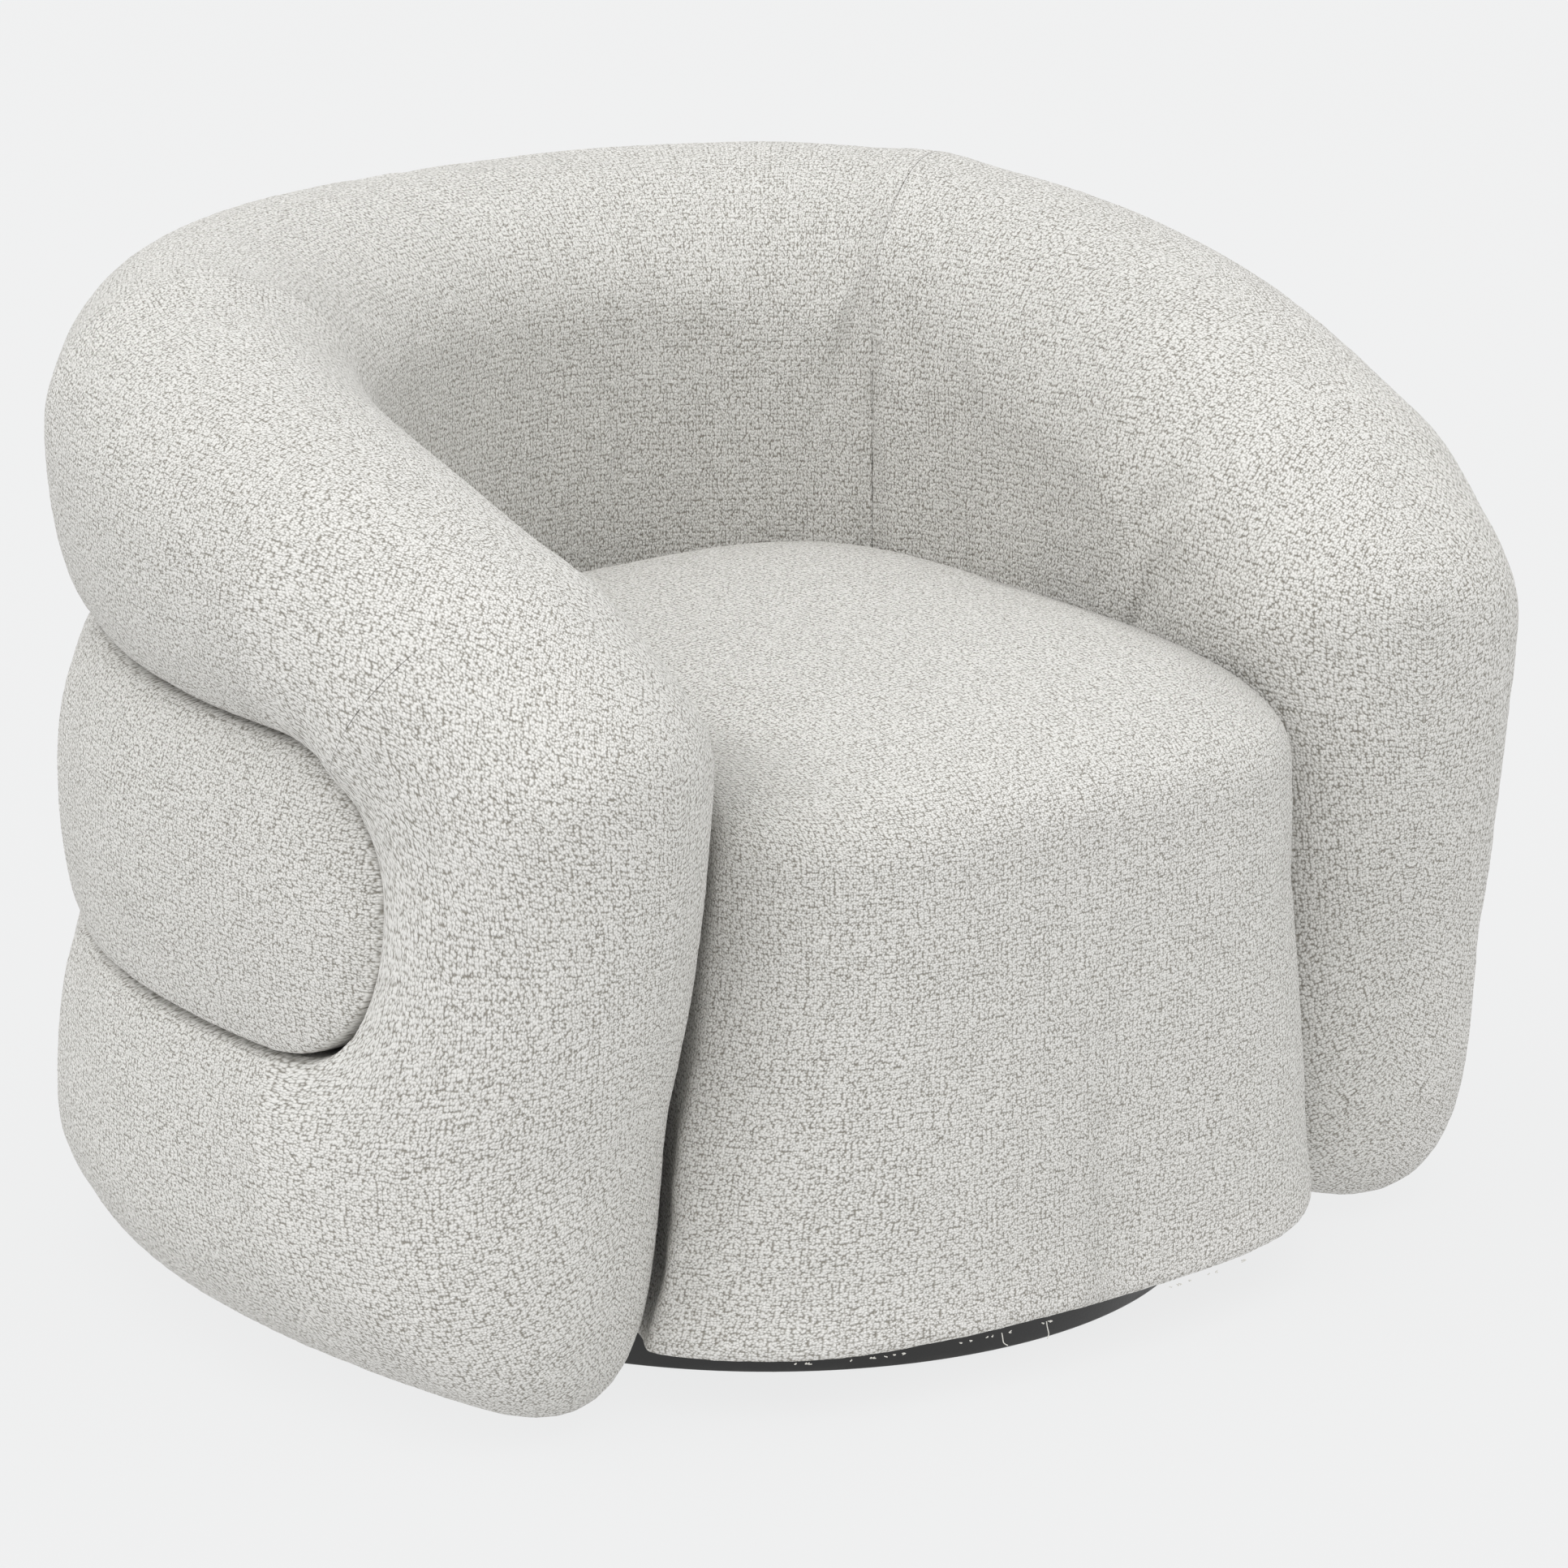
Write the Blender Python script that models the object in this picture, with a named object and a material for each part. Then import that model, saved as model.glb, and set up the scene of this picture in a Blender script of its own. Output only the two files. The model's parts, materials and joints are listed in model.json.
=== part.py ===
"""Upholstered swivel tub armchair: padded horseshoe wall of three rolls, deep seat, turntable base.

Metres, +Z up, front towards -Y, origin on the floor on the swivel axis.
The wall is laid out on a sheet: s runs along the plan's centre line from the middle of the back,
z is height, and n is the offset from the centre line, outwards.
"""
import math

import bmesh
import bpy
import numpy as np

# ---- wall plan: a round back, centred just behind the swivel, that eases into straighter arms
BACK_RADIUS = 0.3757
SETBACK = 0.0302
ARM_RADIUS = 2.858 * BACK_RADIUS
EASE_AT = 1.538 * BACK_RADIUS
EASE_LENGTH = 0.05
ARM_TIP = 2.542 * BACK_RADIUS

# ---- wall outline on the sheet
RIM_HEIGHT = 0.716
RIM_DROP = 0.0436
RIM_DROP_POWER = 3.11
NOSE_HEIGHT = 0.6531 * RIM_HEIGHT
TOP_NOSE_RUN = 0.723 * ARM_TIP
TOP_NOSE_POWER = 1.907
FOOT_HEIGHT = 0.0075
FOOT_NOSE_RUN = 0.167
FOOT_NOSE_POWER = 1.718
FOOT_FORWARD = 0.0707
FORWARD_FROM = 0.4188 * ARM_TIP
LEAN_LEVEL = 0.489 * RIM_HEIGHT
FORWARD_BELOW = 0.298 * RIM_HEIGHT

# ---- wall section
OUTER_BULGE = 0.1134
INNER_BULGE = 0.116
EDGE_ROUND = 0.1055
INNER_TAIL = 0.035
END_TAIL = 0.10
WALL_LEAN = -0.0061
FRONT_SLIM = 1.0
SLIM_FROM = 0.366 * ARM_TIP

# ---- rolls: two grooves that join round the front of each arm
GROOVE_TOP = 0.6458 * RIM_HEIGHT
GROOVE_LOW = 0.3408 * RIM_HEIGHT
GROOVE_TOP_DEPTH = 0.045
GROOVE_LOW_DEPTH = 0.026
MIDDLE_SINK = 0.004
END_FROM = ARM_TIP - 0.280
END_RUN = 0.098
END_POWER = 2.1
END_LEAD = 0.13
ROLL_END_SLACK = 0.0020
SEAM_AT = 0.409 * ARM_TIP
ARM_SEAM_ANGLE = math.radians(56)

# ---- seat
INNER_RADIUS = BACK_RADIUS - INNER_BULGE
SEAT_HALF_WIDTH = 1.050 * INNER_RADIUS
SEAT_REAR = 1.036 * INNER_RADIUS
SEAT_PAST_TIPS = 0.038
SEAT_SQUARENESS = 3.8
SEAT_HEIGHT = 0.655 * RIM_HEIGHT
SEAT_CROWN = 0.080
CROWN_POWER = 0.58
CROWN_TIP = 0.12
SEAT_BOW = 0.015
HEM_HEIGHT = 0.036
HEM_FLARE = 0.068
HEM_SQUARENESS = 3.0
FALL_FROM = 0.250
FALL_OVER = 0.100
SEAT_SIDES = 48
FALL_LEVELS = 7

# ---- layers
COVER = 0.003
GAP = 0.0003
BOARD = 0.018
BOARD_INSET = 0.075
BOARD_NOSE_SLACK = 0.009
BOARD_FOOT_SLACK = 0.028
FACET_SLACK = 0.0012
SEAT_TO_WALL = 0.0295 * BACK_RADIUS

# ---- turntable base
FELT = 0.003
FELT_INSET = 0.010
PLINTH_RADIUS = 0.8065 * BACK_RADIUS
PLINTH = 0.0267
PLINTH_ROUND = 0.002
PLATE = 0.003
PLATE_RADIUS = 0.120
BALL_RADIUS = 0.004
BALLS = 6
RACE_RADIUS = 0.085
RACE_DEPTH = 0.3 * BALL_RADIUS
RACE_HALF_WIDTH = 0.85 * BALL_RADIUS
CAGE = 0.4 * BALL_RADIUS
CAGE_HALF_WIDTH = 2.0 * BALL_RADIUS
PIN_RADIUS = 0.0098
PIN_FLANGE = 0.016
PIN_HOLE = 0.025
WASHER, WASHER_RADIUS = 0.002, 0.018
NUT, NUT_RADIUS = 0.006, 0.017
PIN_END = 0.002
SCREW_CIRCLE = 0.105
SCREW_RADIUS = 0.0020
SCREW_LENGTH = 0.016
BOLT_RADIUS = 0.0030
HEAD_RADIUS, HEAD = 0.0065, 0.004
CLEARANCE = 0.0003
OVERCUT = 0.001

# ---- seat box and springs
BOX_HALF_WIDTH = 0.844 * INNER_RADIUS
BOX_REAR = SETBACK + 0.415 * INNER_RADIUS
FRONT_PAD = 0.2695 * INNER_RADIUS
CORNER_PAD = 0.020
THINNEST_PAD = 0.004
CORNER_CUT = 0.237 * BOX_HALF_WIDTH
DUST_CLOTH = 0.0008
REAR_SHELF = 0.050
BOARD_SQUARENESS = 4
SPRINGS = 4
SPRING_PITCH = 0.447 * BOX_HALF_WIDTH
SPRING_SWING = 0.021
SPRING_TURNS = 14
SPRING_WIRE = 0.0019
SEAT_PADDING = 0.171
RIB_RUN = 0.629 * ARM_TIP
REAR_RIB_RUN = 0.12
RIB_SLACK = 0.0022

# ---- levels that follow
PLINTH_TOP = FELT + GAP + PLINTH
LOWER_PLATE_Z = PLINTH_TOP + GAP
RACE_FLOOR = LOWER_PLATE_Z + PLATE - RACE_DEPTH
BALL_Z = RACE_FLOOR + CLEARANCE + BALL_RADIUS
UPPER_PLATE_Z = BALL_Z + BALL_RADIUS + CLEARANCE - RACE_DEPTH
FLOOR_BOARD_Z = UPPER_PLATE_Z + PLATE + GAP
FLOOR_BOARD_TOP = FLOOR_BOARD_Z + BOARD
BOX_TOP = SEAT_HEIGHT - SEAT_PADDING
SPRING_Z = BOX_TOP + GAP + SPRING_WIRE
FOAM_FLOOR = SPRING_Z + SPRING_WIRE + GAP
RIB_LOW = FOOT_HEIGHT + EDGE_ROUND + INNER_TAIL + 0.007
RIB_HIGH = BOX_TOP - 0.009
END_MIDDLE = (GROOVE_TOP + GROOVE_LOW) / 2
END_HALF = (GROOVE_TOP - GROOVE_LOW) / 2
CORE = BOARD / 2 + FACET_SLACK

# every layer of the wall is cut at the same stations, so that their facets lie parallel
BACK_STATIONS = np.linspace(0, SEAM_AT - GAP / 2, 5)
SIDE_STATIONS = np.linspace(SEAM_AT + GAP / 2, END_FROM, 5)


def clamp01(value):
    return np.clip(value, 0.0, 1.0)


# ------------------------------------------------------------------ the wall's sheet
def plan_table(steps=600, reach=1.5):
    """Arc length, position and heading along the plan's centre line."""
    arc = np.linspace(0.0, reach, steps + 1)
    ease = 1 / (1 + np.exp(-(arc - EASE_AT) / EASE_LENGTH))
    bend = 1 / BACK_RADIUS + (1 / ARM_RADIUS - 1 / BACK_RADIUS) * ease
    step = arc[1]

    def summed(values):
        return np.concatenate([[0.0], np.cumsum((values[1:] + values[:-1]) / 2 * step)])

    heading = summed(bend)
    back = BACK_RADIUS + SETBACK
    return arc, summed(np.cos(heading)), back - summed(np.sin(heading)), heading


ARC, ARC_X, ARC_Y, ARC_HEADING = plan_table()


def plan(s):
    """Point and outward normal of the centre line, side by side for left (s < 0) and right."""
    side = np.where(s < 0, -1.0, 1.0)
    run = np.abs(s)
    heading = np.interp(run, ARC, ARC_HEADING)
    point = np.stack([np.interp(run, ARC, ARC_X) * side, np.interp(run, ARC, ARC_Y)], -1)
    return point, np.stack([np.sin(heading) * side, np.cos(heading)], -1)


SEAT_FRONT = SEAT_PAST_TIPS - float(plan(ARM_TIP)[0][1])
BOX_FRONT = SEAT_FRONT - FRONT_PAD


def forward(s, z):
    """How much further round the plan the arms' lower part stands."""
    low = clamp01((FORWARD_BELOW - z) / FORWARD_BELOW) ** 1.5
    return FOOT_FORWARD * low * clamp01((np.abs(s) - FORWARD_FROM) / FORWARD_FROM)


def slim(s):
    """The wall's thickness as a share of what it is at the back."""
    return 1 + (FRONT_SLIM - 1) * clamp01((np.abs(s) - SLIM_FROM) / FORWARD_FROM)


def place(s, z, n):
    """Sheet coordinates to space."""
    s, z, n = np.broadcast_arrays(*(np.asarray(v, float) for v in (s, z, n)))
    point, normal = plan((np.abs(s) + forward(s, z)) * np.where(s < 0, -1.0, 1.0))
    offset = n * slim(s) + WALL_LEAN * (z - LEAN_LEVEL)
    return np.concatenate([point + normal * offset[..., None], z[..., None]], -1)


def rim(s):
    run = np.abs(s)
    nose = clamp01((run - (ARM_TIP - TOP_NOSE_RUN)) / TOP_NOSE_RUN)
    height = RIM_HEIGHT - RIM_DROP * (run / ARM_TIP) ** RIM_DROP_POWER
    return NOSE_HEIGHT + (height - NOSE_HEIGHT) * (1 - nose**TOP_NOSE_POWER) ** (1 / TOP_NOSE_POWER)


def foot(s):
    run = np.abs(s)
    nose = clamp01((run - (ARM_TIP - FOOT_NOSE_RUN)) / FOOT_NOSE_RUN)
    fall = (1 - nose**FOOT_NOSE_POWER) ** (1 / FOOT_NOSE_POWER)
    return NOSE_HEIGHT - (NOSE_HEIGHT - FOOT_HEIGHT) * fall


def nose_hit(angle):
    """Where a ray from the middle roll's end meets the wall's outline."""
    spread = np.sin(np.linspace(0, math.pi / 2, 240))
    run = END_FROM + (ARM_TIP - END_FROM) * spread
    s = np.concatenate([run, run[::-1]])
    z = np.concatenate([rim(run), foot(run[::-1])])
    bearing = np.arctan2(z - END_MIDDLE, s - END_FROM)
    order = np.argsort(bearing)
    return np.interp(angle, bearing[order], s[order]), np.interp(angle, bearing[order], z[order])


def ray(kind, value):
    """One station round the band: its groove point and its outline point, for the right side."""
    if kind == "top":
        return (value, GROOVE_TOP), (value, float(rim(value)))
    if kind == "low":
        return (value, GROOVE_LOW), (value, float(foot(value)))
    across, up = math.cos(value), math.sin(value)
    reach = (abs(across / END_RUN) ** END_POWER + abs(up / END_HALF) ** END_POWER) ** (-1 / END_POWER)
    s, z = nose_hit(value)
    return (END_FROM + across * reach, END_MIDDLE + up * reach), (float(s), float(z))


def groove_depth(z):
    share = clamp01((z - GROOVE_LOW) / (GROOVE_TOP - GROOVE_LOW))
    return GROOVE_LOW_DEPTH + (GROOVE_TOP_DEPTH - GROOVE_LOW_DEPTH) * share


SHOULDER = np.linspace(math.pi / 2, 0, 4)
QUARTER = np.linspace(0, math.pi / 2, 4)[1:]


def layer(chain, depth, turn=1):
    """A line of points moved sideways by depth, to the left of its run, or right for turn -1."""
    chain = np.array(chain)
    along = np.gradient(chain, axis=-2)
    along /= np.maximum(np.linalg.norm(along, axis=-1, keepdims=True), 1e-12)
    return chain + turn * depth * np.stack([-along[..., 1], along[..., 0]], -1)


def band_section(station, side, inner_end):
    """The band's skin, the lines under its cover, and its line along the wall board."""
    kind, value = station
    (gs, gz), (os_, oz) = ray(kind, value)
    length = math.hypot(gs - os_, gz - oz)
    inward = ((gs - os_) / length, (gz - oz) / length)
    slack = ROLL_END_SLACK if kind == "end" else 2 * GAP
    reach = length - slack - EDGE_ROUND
    depth = groove_depth(gz)
    skin = [
        (EDGE_ROUND + reach * math.sin(a), OUTER_BULGE - depth * (1 - math.cos(a)))
        for a in SHOULDER
    ]
    skin += [(EDGE_ROUND * (1 - math.sin(a)), OUTER_BULGE * math.cos(a)) for a in QUARTER]
    turn = len(skin)
    skin += [
        (EDGE_ROUND * (1 - math.sin(a)), -INNER_BULGE * math.cos(a)) for a in QUARTER[-2::-1]
    ]
    skin += [(a, -INNER_BULGE) for a in np.linspace(EDGE_ROUND, inner_end, 3)]
    core = [(a, CORE) for a in np.linspace(length - slack, BOARD_INSET, turn)]
    core += [(a, -CORE) for a in np.linspace(BOARD_INSET, inner_end, len(skin) - turn)]

    def spots(chain):
        a, n = np.array(chain).T
        return place(side * (os_ + inward[0] * a), oz + inward[1] * a, n)

    return [spots(chain) for chain in (skin, layer(skin, COVER), layer(skin, COVER + GAP), core)]


def inner_end(kind, value):
    """How far down the inside each station's padding goes: just out of sight behind the seat."""
    if kind == "top":
        return float(rim(value)) - LEAN_LEVEL
    if kind == "low":
        return EDGE_ROUND + INNER_TAIL
    return EDGE_ROUND + INNER_TAIL + END_TAIL * max(0.0, math.sin(value))


def band_stations():
    """Stations once round the band, as (side, piece, kind, value), from the back's left seam."""
    half = [("rim_back", "top", v) for v in BACK_STATIONS]
    half += [("rim", "top", v) for v in SIDE_STATIONS]
    straight = math.pi / 2
    split = GAP / END_HALF / 2
    rim_end = np.linspace(straight - END_LEAD, ARM_SEAM_ANGLE + split, 4)
    arm_end = np.linspace(ARM_SEAM_ANGLE - split, END_LEAD - straight, 12)
    half += [("rim", "end", v) for v in rim_end]
    half += [("arm_front", "end", v) for v in arm_end]
    half += [("arm_front", "low", v) for v in SIDE_STATIONS[::-1]]
    half += [("lower_roll_back", "low", v) for v in BACK_STATIONS[::-1]]
    right = [(1, *station) for station in half]
    left = [(-1, *station) for station in reversed(half) if station[2] != 0]
    back_left = [station for station in left if station[1] == "rim_back"]
    return back_left + right + [station for station in left if station[1] != "rim_back"]


def band_grids():
    """Skin, cover lining, foam face and core grids of the whole band, and each piece's rows."""
    stations = band_stations()
    lines = [band_section((kind, v), side, inner_end(kind, v)) for side, _, kind, v in stations]
    rows = {}
    for k, (side, piece, _, _) in enumerate(stations):
        word = "" if piece.endswith("back") else ("_right" if side > 0 else "_left")
        rows.setdefault(piece + word, []).append(k)
    return [np.array([line[k] for line in lines]) for k in range(4)], rows


def middle_bulge(s, z):
    """The middle roll's height over its own patch of the wall."""
    end = clamp01((np.abs(s) - END_FROM) / END_RUN)
    part = np.abs(z - END_MIDDLE) / END_HALF
    near = clamp01((part**END_POWER + end**END_POWER) ** (1 / END_POWER))
    depth = groove_depth(z) - MIDDLE_SINK
    return OUTER_BULGE - MIDDLE_SINK - depth * (1 - np.sqrt(1 - near**2))


def middle_grids(s, levels=7):
    """The middle roll's skin, lines under its cover and face on the wall board, at places along it."""
    past = clamp01((np.abs(s) - END_FROM) / END_RUN)
    half = END_HALF * (1 - past**END_POWER) ** (1 / END_POWER) - 2 * GAP
    z = END_MIDDLE + half[:, None] * np.sin(np.linspace(-math.pi / 2, math.pi / 2, levels))[None, :]
    s = s[:, None] + 0 * z
    skin = np.stack([z, middle_bulge(s, z)], -1)
    lines = [skin, layer(skin, COVER, -1), layer(skin, COVER + GAP, -1)]
    return [place(s, line[..., 0], line[..., 1]) for line in lines] + [place(s, z, CORE)]


# ------------------------------------------------------------------ meshes
def new_object(name, vertices, faces, material, smooth=True):
    mesh = bpy.data.meshes.new(name)
    mesh.from_pydata([tuple(map(float, v)) for v in vertices], [], faces)
    body = bmesh.new()
    body.from_mesh(mesh)
    bmesh.ops.remove_doubles(body, verts=body.verts, dist=1e-6)
    bmesh.ops.recalc_face_normals(body, faces=body.faces)
    bmesh.ops.triangulate(body, faces=[f for f in body.faces if len(f.verts) == 4])
    body.to_mesh(mesh)
    body.free()
    if smooth:
        mesh.shade_smooth()
        mesh.set_sharp_from_angle(angle=math.radians(40))
    mesh.materials.append(material)
    thing = bpy.data.objects.new(name, mesh)
    bpy.context.collection.objects.link(thing)
    return thing


def slab(name, outer, inner, material):
    """A closed solid between two grids of the same shape."""
    rows, columns = outer.shape[:2]
    size = rows * columns

    def at(layer, i, j):
        return layer * size + i * columns + j

    faces = []
    for i in range(rows - 1):
        for j in range(columns - 1):
            faces.append((at(0, i, j), at(0, i + 1, j), at(0, i + 1, j + 1), at(0, i, j + 1)))
            faces.append((at(1, i, j), at(1, i, j + 1), at(1, i + 1, j + 1), at(1, i + 1, j)))
    for i in range(rows - 1):
        for j in (0, columns - 1):
            faces.append((at(0, i, j), at(0, i + 1, j), at(1, i + 1, j), at(1, i, j)))
    for j in range(columns - 1):
        for i in (0, rows - 1):
            faces.append((at(0, i, j), at(0, i, j + 1), at(1, i, j + 1), at(1, i, j)))
    points = np.concatenate([outer.reshape(-1, 3), inner.reshape(-1, 3)])
    return new_object(name, points, faces, material)


def ring_faces(rows, columns, first=0, flip=False):
    faces = []
    for i in range(rows - 1):
        for j in range(columns):
            k = (j + 1) % columns
            low, high = first + i * columns, first + (i + 1) * columns
            face = (low + j, low + k, high + k, high + j)
            faces.append(face[::-1] if flip else face)
    return faces


def stack(name, rings, material):
    """A closed solid from rings, capped below and drawn to a point above."""
    rows, columns = rings.shape[:2]
    points = list(rings.reshape(-1, 3)) + [rings[-1].mean(0)]
    faces = ring_faces(rows, columns)
    faces.append(tuple(range(columns - 1, -1, -1)))
    top = (rows - 1) * columns
    faces += [(top + j, top + (j + 1) % columns, len(points) - 1) for j in range(columns)]
    return new_object(name, points, faces, material)


def cup(name, outer, inner, material):
    """A thin shell between two stacks of rings, open below."""
    rows, columns = outer.shape[:2]
    size = rows * columns
    points = list(outer.reshape(-1, 3)) + list(inner.reshape(-1, 3))
    points += [outer[-1].mean(0), inner[-1].mean(0)]
    faces = ring_faces(rows, columns) + ring_faces(rows, columns, size, True)
    top = (rows - 1) * columns
    for j in range(columns):
        k = (j + 1) % columns
        faces.append((top + j, top + k, 2 * size))
        faces.append((size + top + k, size + top + j, 2 * size + 1))
        faces.append((j, size + j, size + k, k))
    return new_object(name, points, faces, material)


def round_spot(radius, angle):
    return radius * math.cos(angle), radius * math.sin(angle)


def turned(name, profile, material, segments=32, centre=(0.0, 0.0)):
    """A turned solid from a closed profile of (radius, height); radius 0 is a pole."""
    points, rings = [], []
    for radius, height in profile:
        if radius == 0:
            rings.append([len(points)])
            points.append((centre[0], centre[1], height))
            continue
        rings.append(list(range(len(points), len(points) + segments)))
        for k in range(segments):
            angle = 2 * math.pi * k / segments
            x, y = round_spot(radius, angle)
            points.append((centre[0] + x, centre[1] + y, height))
    faces = []
    for a, b in zip(rings, rings[1:] + rings[:1]):
        if len(a) == 1 and len(b) == 1:
            continue
        for k in range(segments):
            m = (k + 1) % segments
            if len(a) == 1:
                faces.append((a[0], b[m], b[k]))
            elif len(b) == 1:
                faces.append((a[k], a[m], b[0]))
            else:
                faces.append((a[k], a[m], b[m], b[k]))
    return new_object(name, points, faces, material)


def block(name, low, high, material):
    """A square-cut board."""
    xs, ys, zs = zip(low, high)
    corners = [(x, y, z) for x in xs for y in ys for z in zs]
    faces = [(0, 1, 3, 2), (4, 6, 7, 5), (0, 4, 5, 1), (2, 3, 7, 6), (0, 2, 6, 4), (1, 5, 7, 3)]
    return new_object(name, corners, faces, material, smooth=False)


def outline_board(name, outline, low, high, material):
    """A flat board cut to a closed outline."""
    count = len(outline)
    points = [(x, y, low) for x, y in outline] + [(x, y, high) for x, y in outline]
    faces = [tuple(range(count - 1, -1, -1)), tuple(range(count, 2 * count))]
    faces += [(k, (k + 1) % count, count + (k + 1) % count, count + k) for k in range(count)]
    return new_object(name, points, faces, material, smooth=False)


def drill(thing, radius, low, high, centre=(0.0, 0.0), segments=24):
    """A round hole cut upright through a piece."""
    cutter = turned(
        f"{thing.name}_drill_{len(thing.modifiers)}",
        [(0, low), (radius, low), (radius, high), (0, high)],
        thing.data.materials[0],
        segments,
        centre,
    )
    cutter.hide_render = True
    cutter.display_type = "WIRE"
    cut = thing.modifiers.new("drill", "BOOLEAN")
    cut.operation = "DIFFERENCE"
    cut.object = cutter


def finish_of(name, colour, roughness, metallic=0.0):
    """A plain Principled material."""
    material = bpy.data.materials.new(name)
    material.use_nodes = True
    shader = material.node_tree.nodes["Principled BSDF"]
    shader.inputs["Base Color"].default_value = (*colour, 1)
    shader.inputs["Roughness"].default_value = roughness
    shader.inputs["Metallic"].default_value = metallic
    return material


# ------------------------------------------------------------------ seat
def squared(t, power):
    return math.copysign(abs(t) ** (2 / power), t)


def inner_face(run, z):
    """The offset of the wall's inner face at a place along the plan, or None past its edge."""
    s = run - float(forward(run, z))
    reach = min(z - float(foot(s)), float(rim(s)) - z)
    if s > END_FROM:
        across, up = s - END_FROM, z - END_MIDDLE
        edge_s, edge_z = nose_hit(math.atan2(up, across))
        reach = math.hypot(edge_s - END_FROM, edge_z - END_MIDDLE) - math.hypot(across, up)
    if reach < 0:
        return None
    nose = 1 - float(clamp01(reach / EDGE_ROUND))
    return -INNER_BULGE * float(slim(s)) * math.sqrt(1 - nose**2) + WALL_LEAN * (z - LEAN_LEVEL)


PLAN_RUN = np.linspace(-ARM_TIP, ARM_TIP, 321)
PLAN_LINE, PLAN_NORMAL = plan(PLAN_RUN)


def inside_wall(x, y, z, shrink):
    """A plan point pulled in until it stands clear of the wall's inner face."""
    away = np.array([x, y]) - PLAN_LINE
    nearest = int(np.argmin((away**2).sum(1)))
    face = inner_face(abs(float(PLAN_RUN[nearest])), z)
    if face is None:
        return float(x), float(y)
    limit = face - SEAT_TO_WALL - shrink
    offset = float(away[nearest] @ PLAN_NORMAL[nearest])
    if offset > limit:
        x, y = np.array([x, y]) + PLAN_NORMAL[nearest] * (limit - offset)
    return float(x), float(y)


def seat_ring(share, heights, shrink):
    """One level of the seat's skin, share 1 being its full plan, with a height for each point."""
    ring = []
    for k, (z, size) in enumerate(zip(heights, np.broadcast_to(share, SEAT_SIDES))):
        angle = 2 * math.pi * (k + 0.5) / SEAT_SIDES
        flare = float(clamp01((BOX_TOP - z) / (BOX_TOP - HEM_HEIGHT)))
        power = SEAT_SQUARENESS + (HEM_SQUARENESS - SEAT_SQUARENESS) * flare
        half = SEAT_HALF_WIDTH + HEM_FLARE * flare - shrink
        ux, uy = squared(math.sin(angle), power), -squared(math.cos(angle), power)
        depth = (SEAT_FRONT if uy < 0 else SEAT_REAR) - shrink
        x, y = inside_wall(half * ux * size, depth * uy * size, z, shrink)
        ring.append((x, y, z))
    return ring


def bow(z):
    """How far the seat's side swells, as a share of its plan."""
    rise = (z - HEM_HEIGHT) / (SEAT_HEIGHT - SEAT_CROWN - HEM_HEIGHT)
    return 1 - SEAT_BOW * ((rise - 0.75) / 0.75) ** 2


def seat_rings(front_low, rear_low, shrink=0.0, crown_levels=5):
    """The seat's skin from its lower edge, which hangs lower at the front than round the back."""
    y = np.array([p[1] for p in seat_ring(1, [0.2] * SEAT_SIDES, 0.0)])
    rear = clamp01((y + FALL_FROM) / FALL_OVER)
    low = front_low + (rear_low - front_low) * rear**2 * (3 - 2 * rear)
    shoulder = SEAT_HEIGHT - SEAT_CROWN
    rings = []
    at_foam = (FOAM_FLOOR - front_low) / (shoulder - front_low)
    for part in sorted({*np.linspace(0, at_foam, FALL_LEVELS), 1.0}):
        heights = low + (shoulder - low) * part
        rings.append(seat_ring(bow(heights), heights, shrink))
    for angle in np.linspace(0, math.pi / 2, crown_levels + 1)[1:-1]:
        share = math.cos(angle) ** CROWN_POWER * bow(shoulder)
        height = shoulder + (SEAT_CROWN - shrink) * math.sin(angle)
        rings.append(seat_ring(share, [height] * SEAT_SIDES, shrink))
    rings.append(seat_ring(CROWN_TIP, [SEAT_HEIGHT - GAP - shrink] * SEAT_SIDES, shrink))
    return np.array(rings)


# ------------------------------------------------------------------ the chair
def build_wall(fabric, foam, plywood):
    """Covers, foams and boards of the wrap-around wall."""
    (skin, lining, padding, core), rows = band_grids()
    for name, taken in rows.items():
        slab(f"{name}_cover", skin[taken], lining[taken], fabric)
        slab(f"{name}_foam", padding[taken], core[taken], foam)

    round_end = END_FROM + END_RUN * np.array([0.35, 0.65, 0.85, 0.985])
    side = np.concatenate([SIDE_STATIONS, round_end])
    back = np.concatenate([-BACK_STATIONS[:0:-1], BACK_STATIONS])
    skin, lining, padding, core = middle_grids(np.concatenate([-side[::-1], back, side]))
    first, last = len(side), len(side) + len(back)
    for word, taken in (
        ("left", slice(0, first)),
        ("back", slice(first, last)),
        ("right", slice(last, None)),
    ):
        slab(f"middle_roll_{word}_cover", skin[taken], lining[taken], fabric)
        slab(f"middle_roll_{word}_foam", padding[taken], core[taken], foam)

    for word, side, edges in (
        ("back", 1, board_edges(back, False)),
        ("left", -1, board_edges(SIDE_STATIONS, True)),
        ("right", 1, board_edges(SIDE_STATIONS, True)),
    ):
        across = np.linspace(0, 1, 5)[None, :, None]
        top, low = edges[:, None, 0], edges[:, None, 1]
        sheet = low + (top - low) * across
        faces = [place(side * sheet[..., 0], sheet[..., 1], n) for n in (BOARD / 2, -BOARD / 2)]
        slab(f"wall_board_{word}", *faces, plywood)


def board_edges(stations, with_nose):
    """Upper and lower edge points of a wall board, kept clear of the padding round its edge."""
    inset = BOARD_INSET + GAP
    edges = [((s, rim(s) - inset), (s, foot(s) + inset)) for s in stations]
    if with_nose:
        edges += [
            (board_point(a, BOARD_NOSE_SLACK), board_point(-a, BOARD_FOOT_SLACK))
            for a in np.linspace(1.35, 0.35, 8)
        ]
    return np.array(edges)


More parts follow.
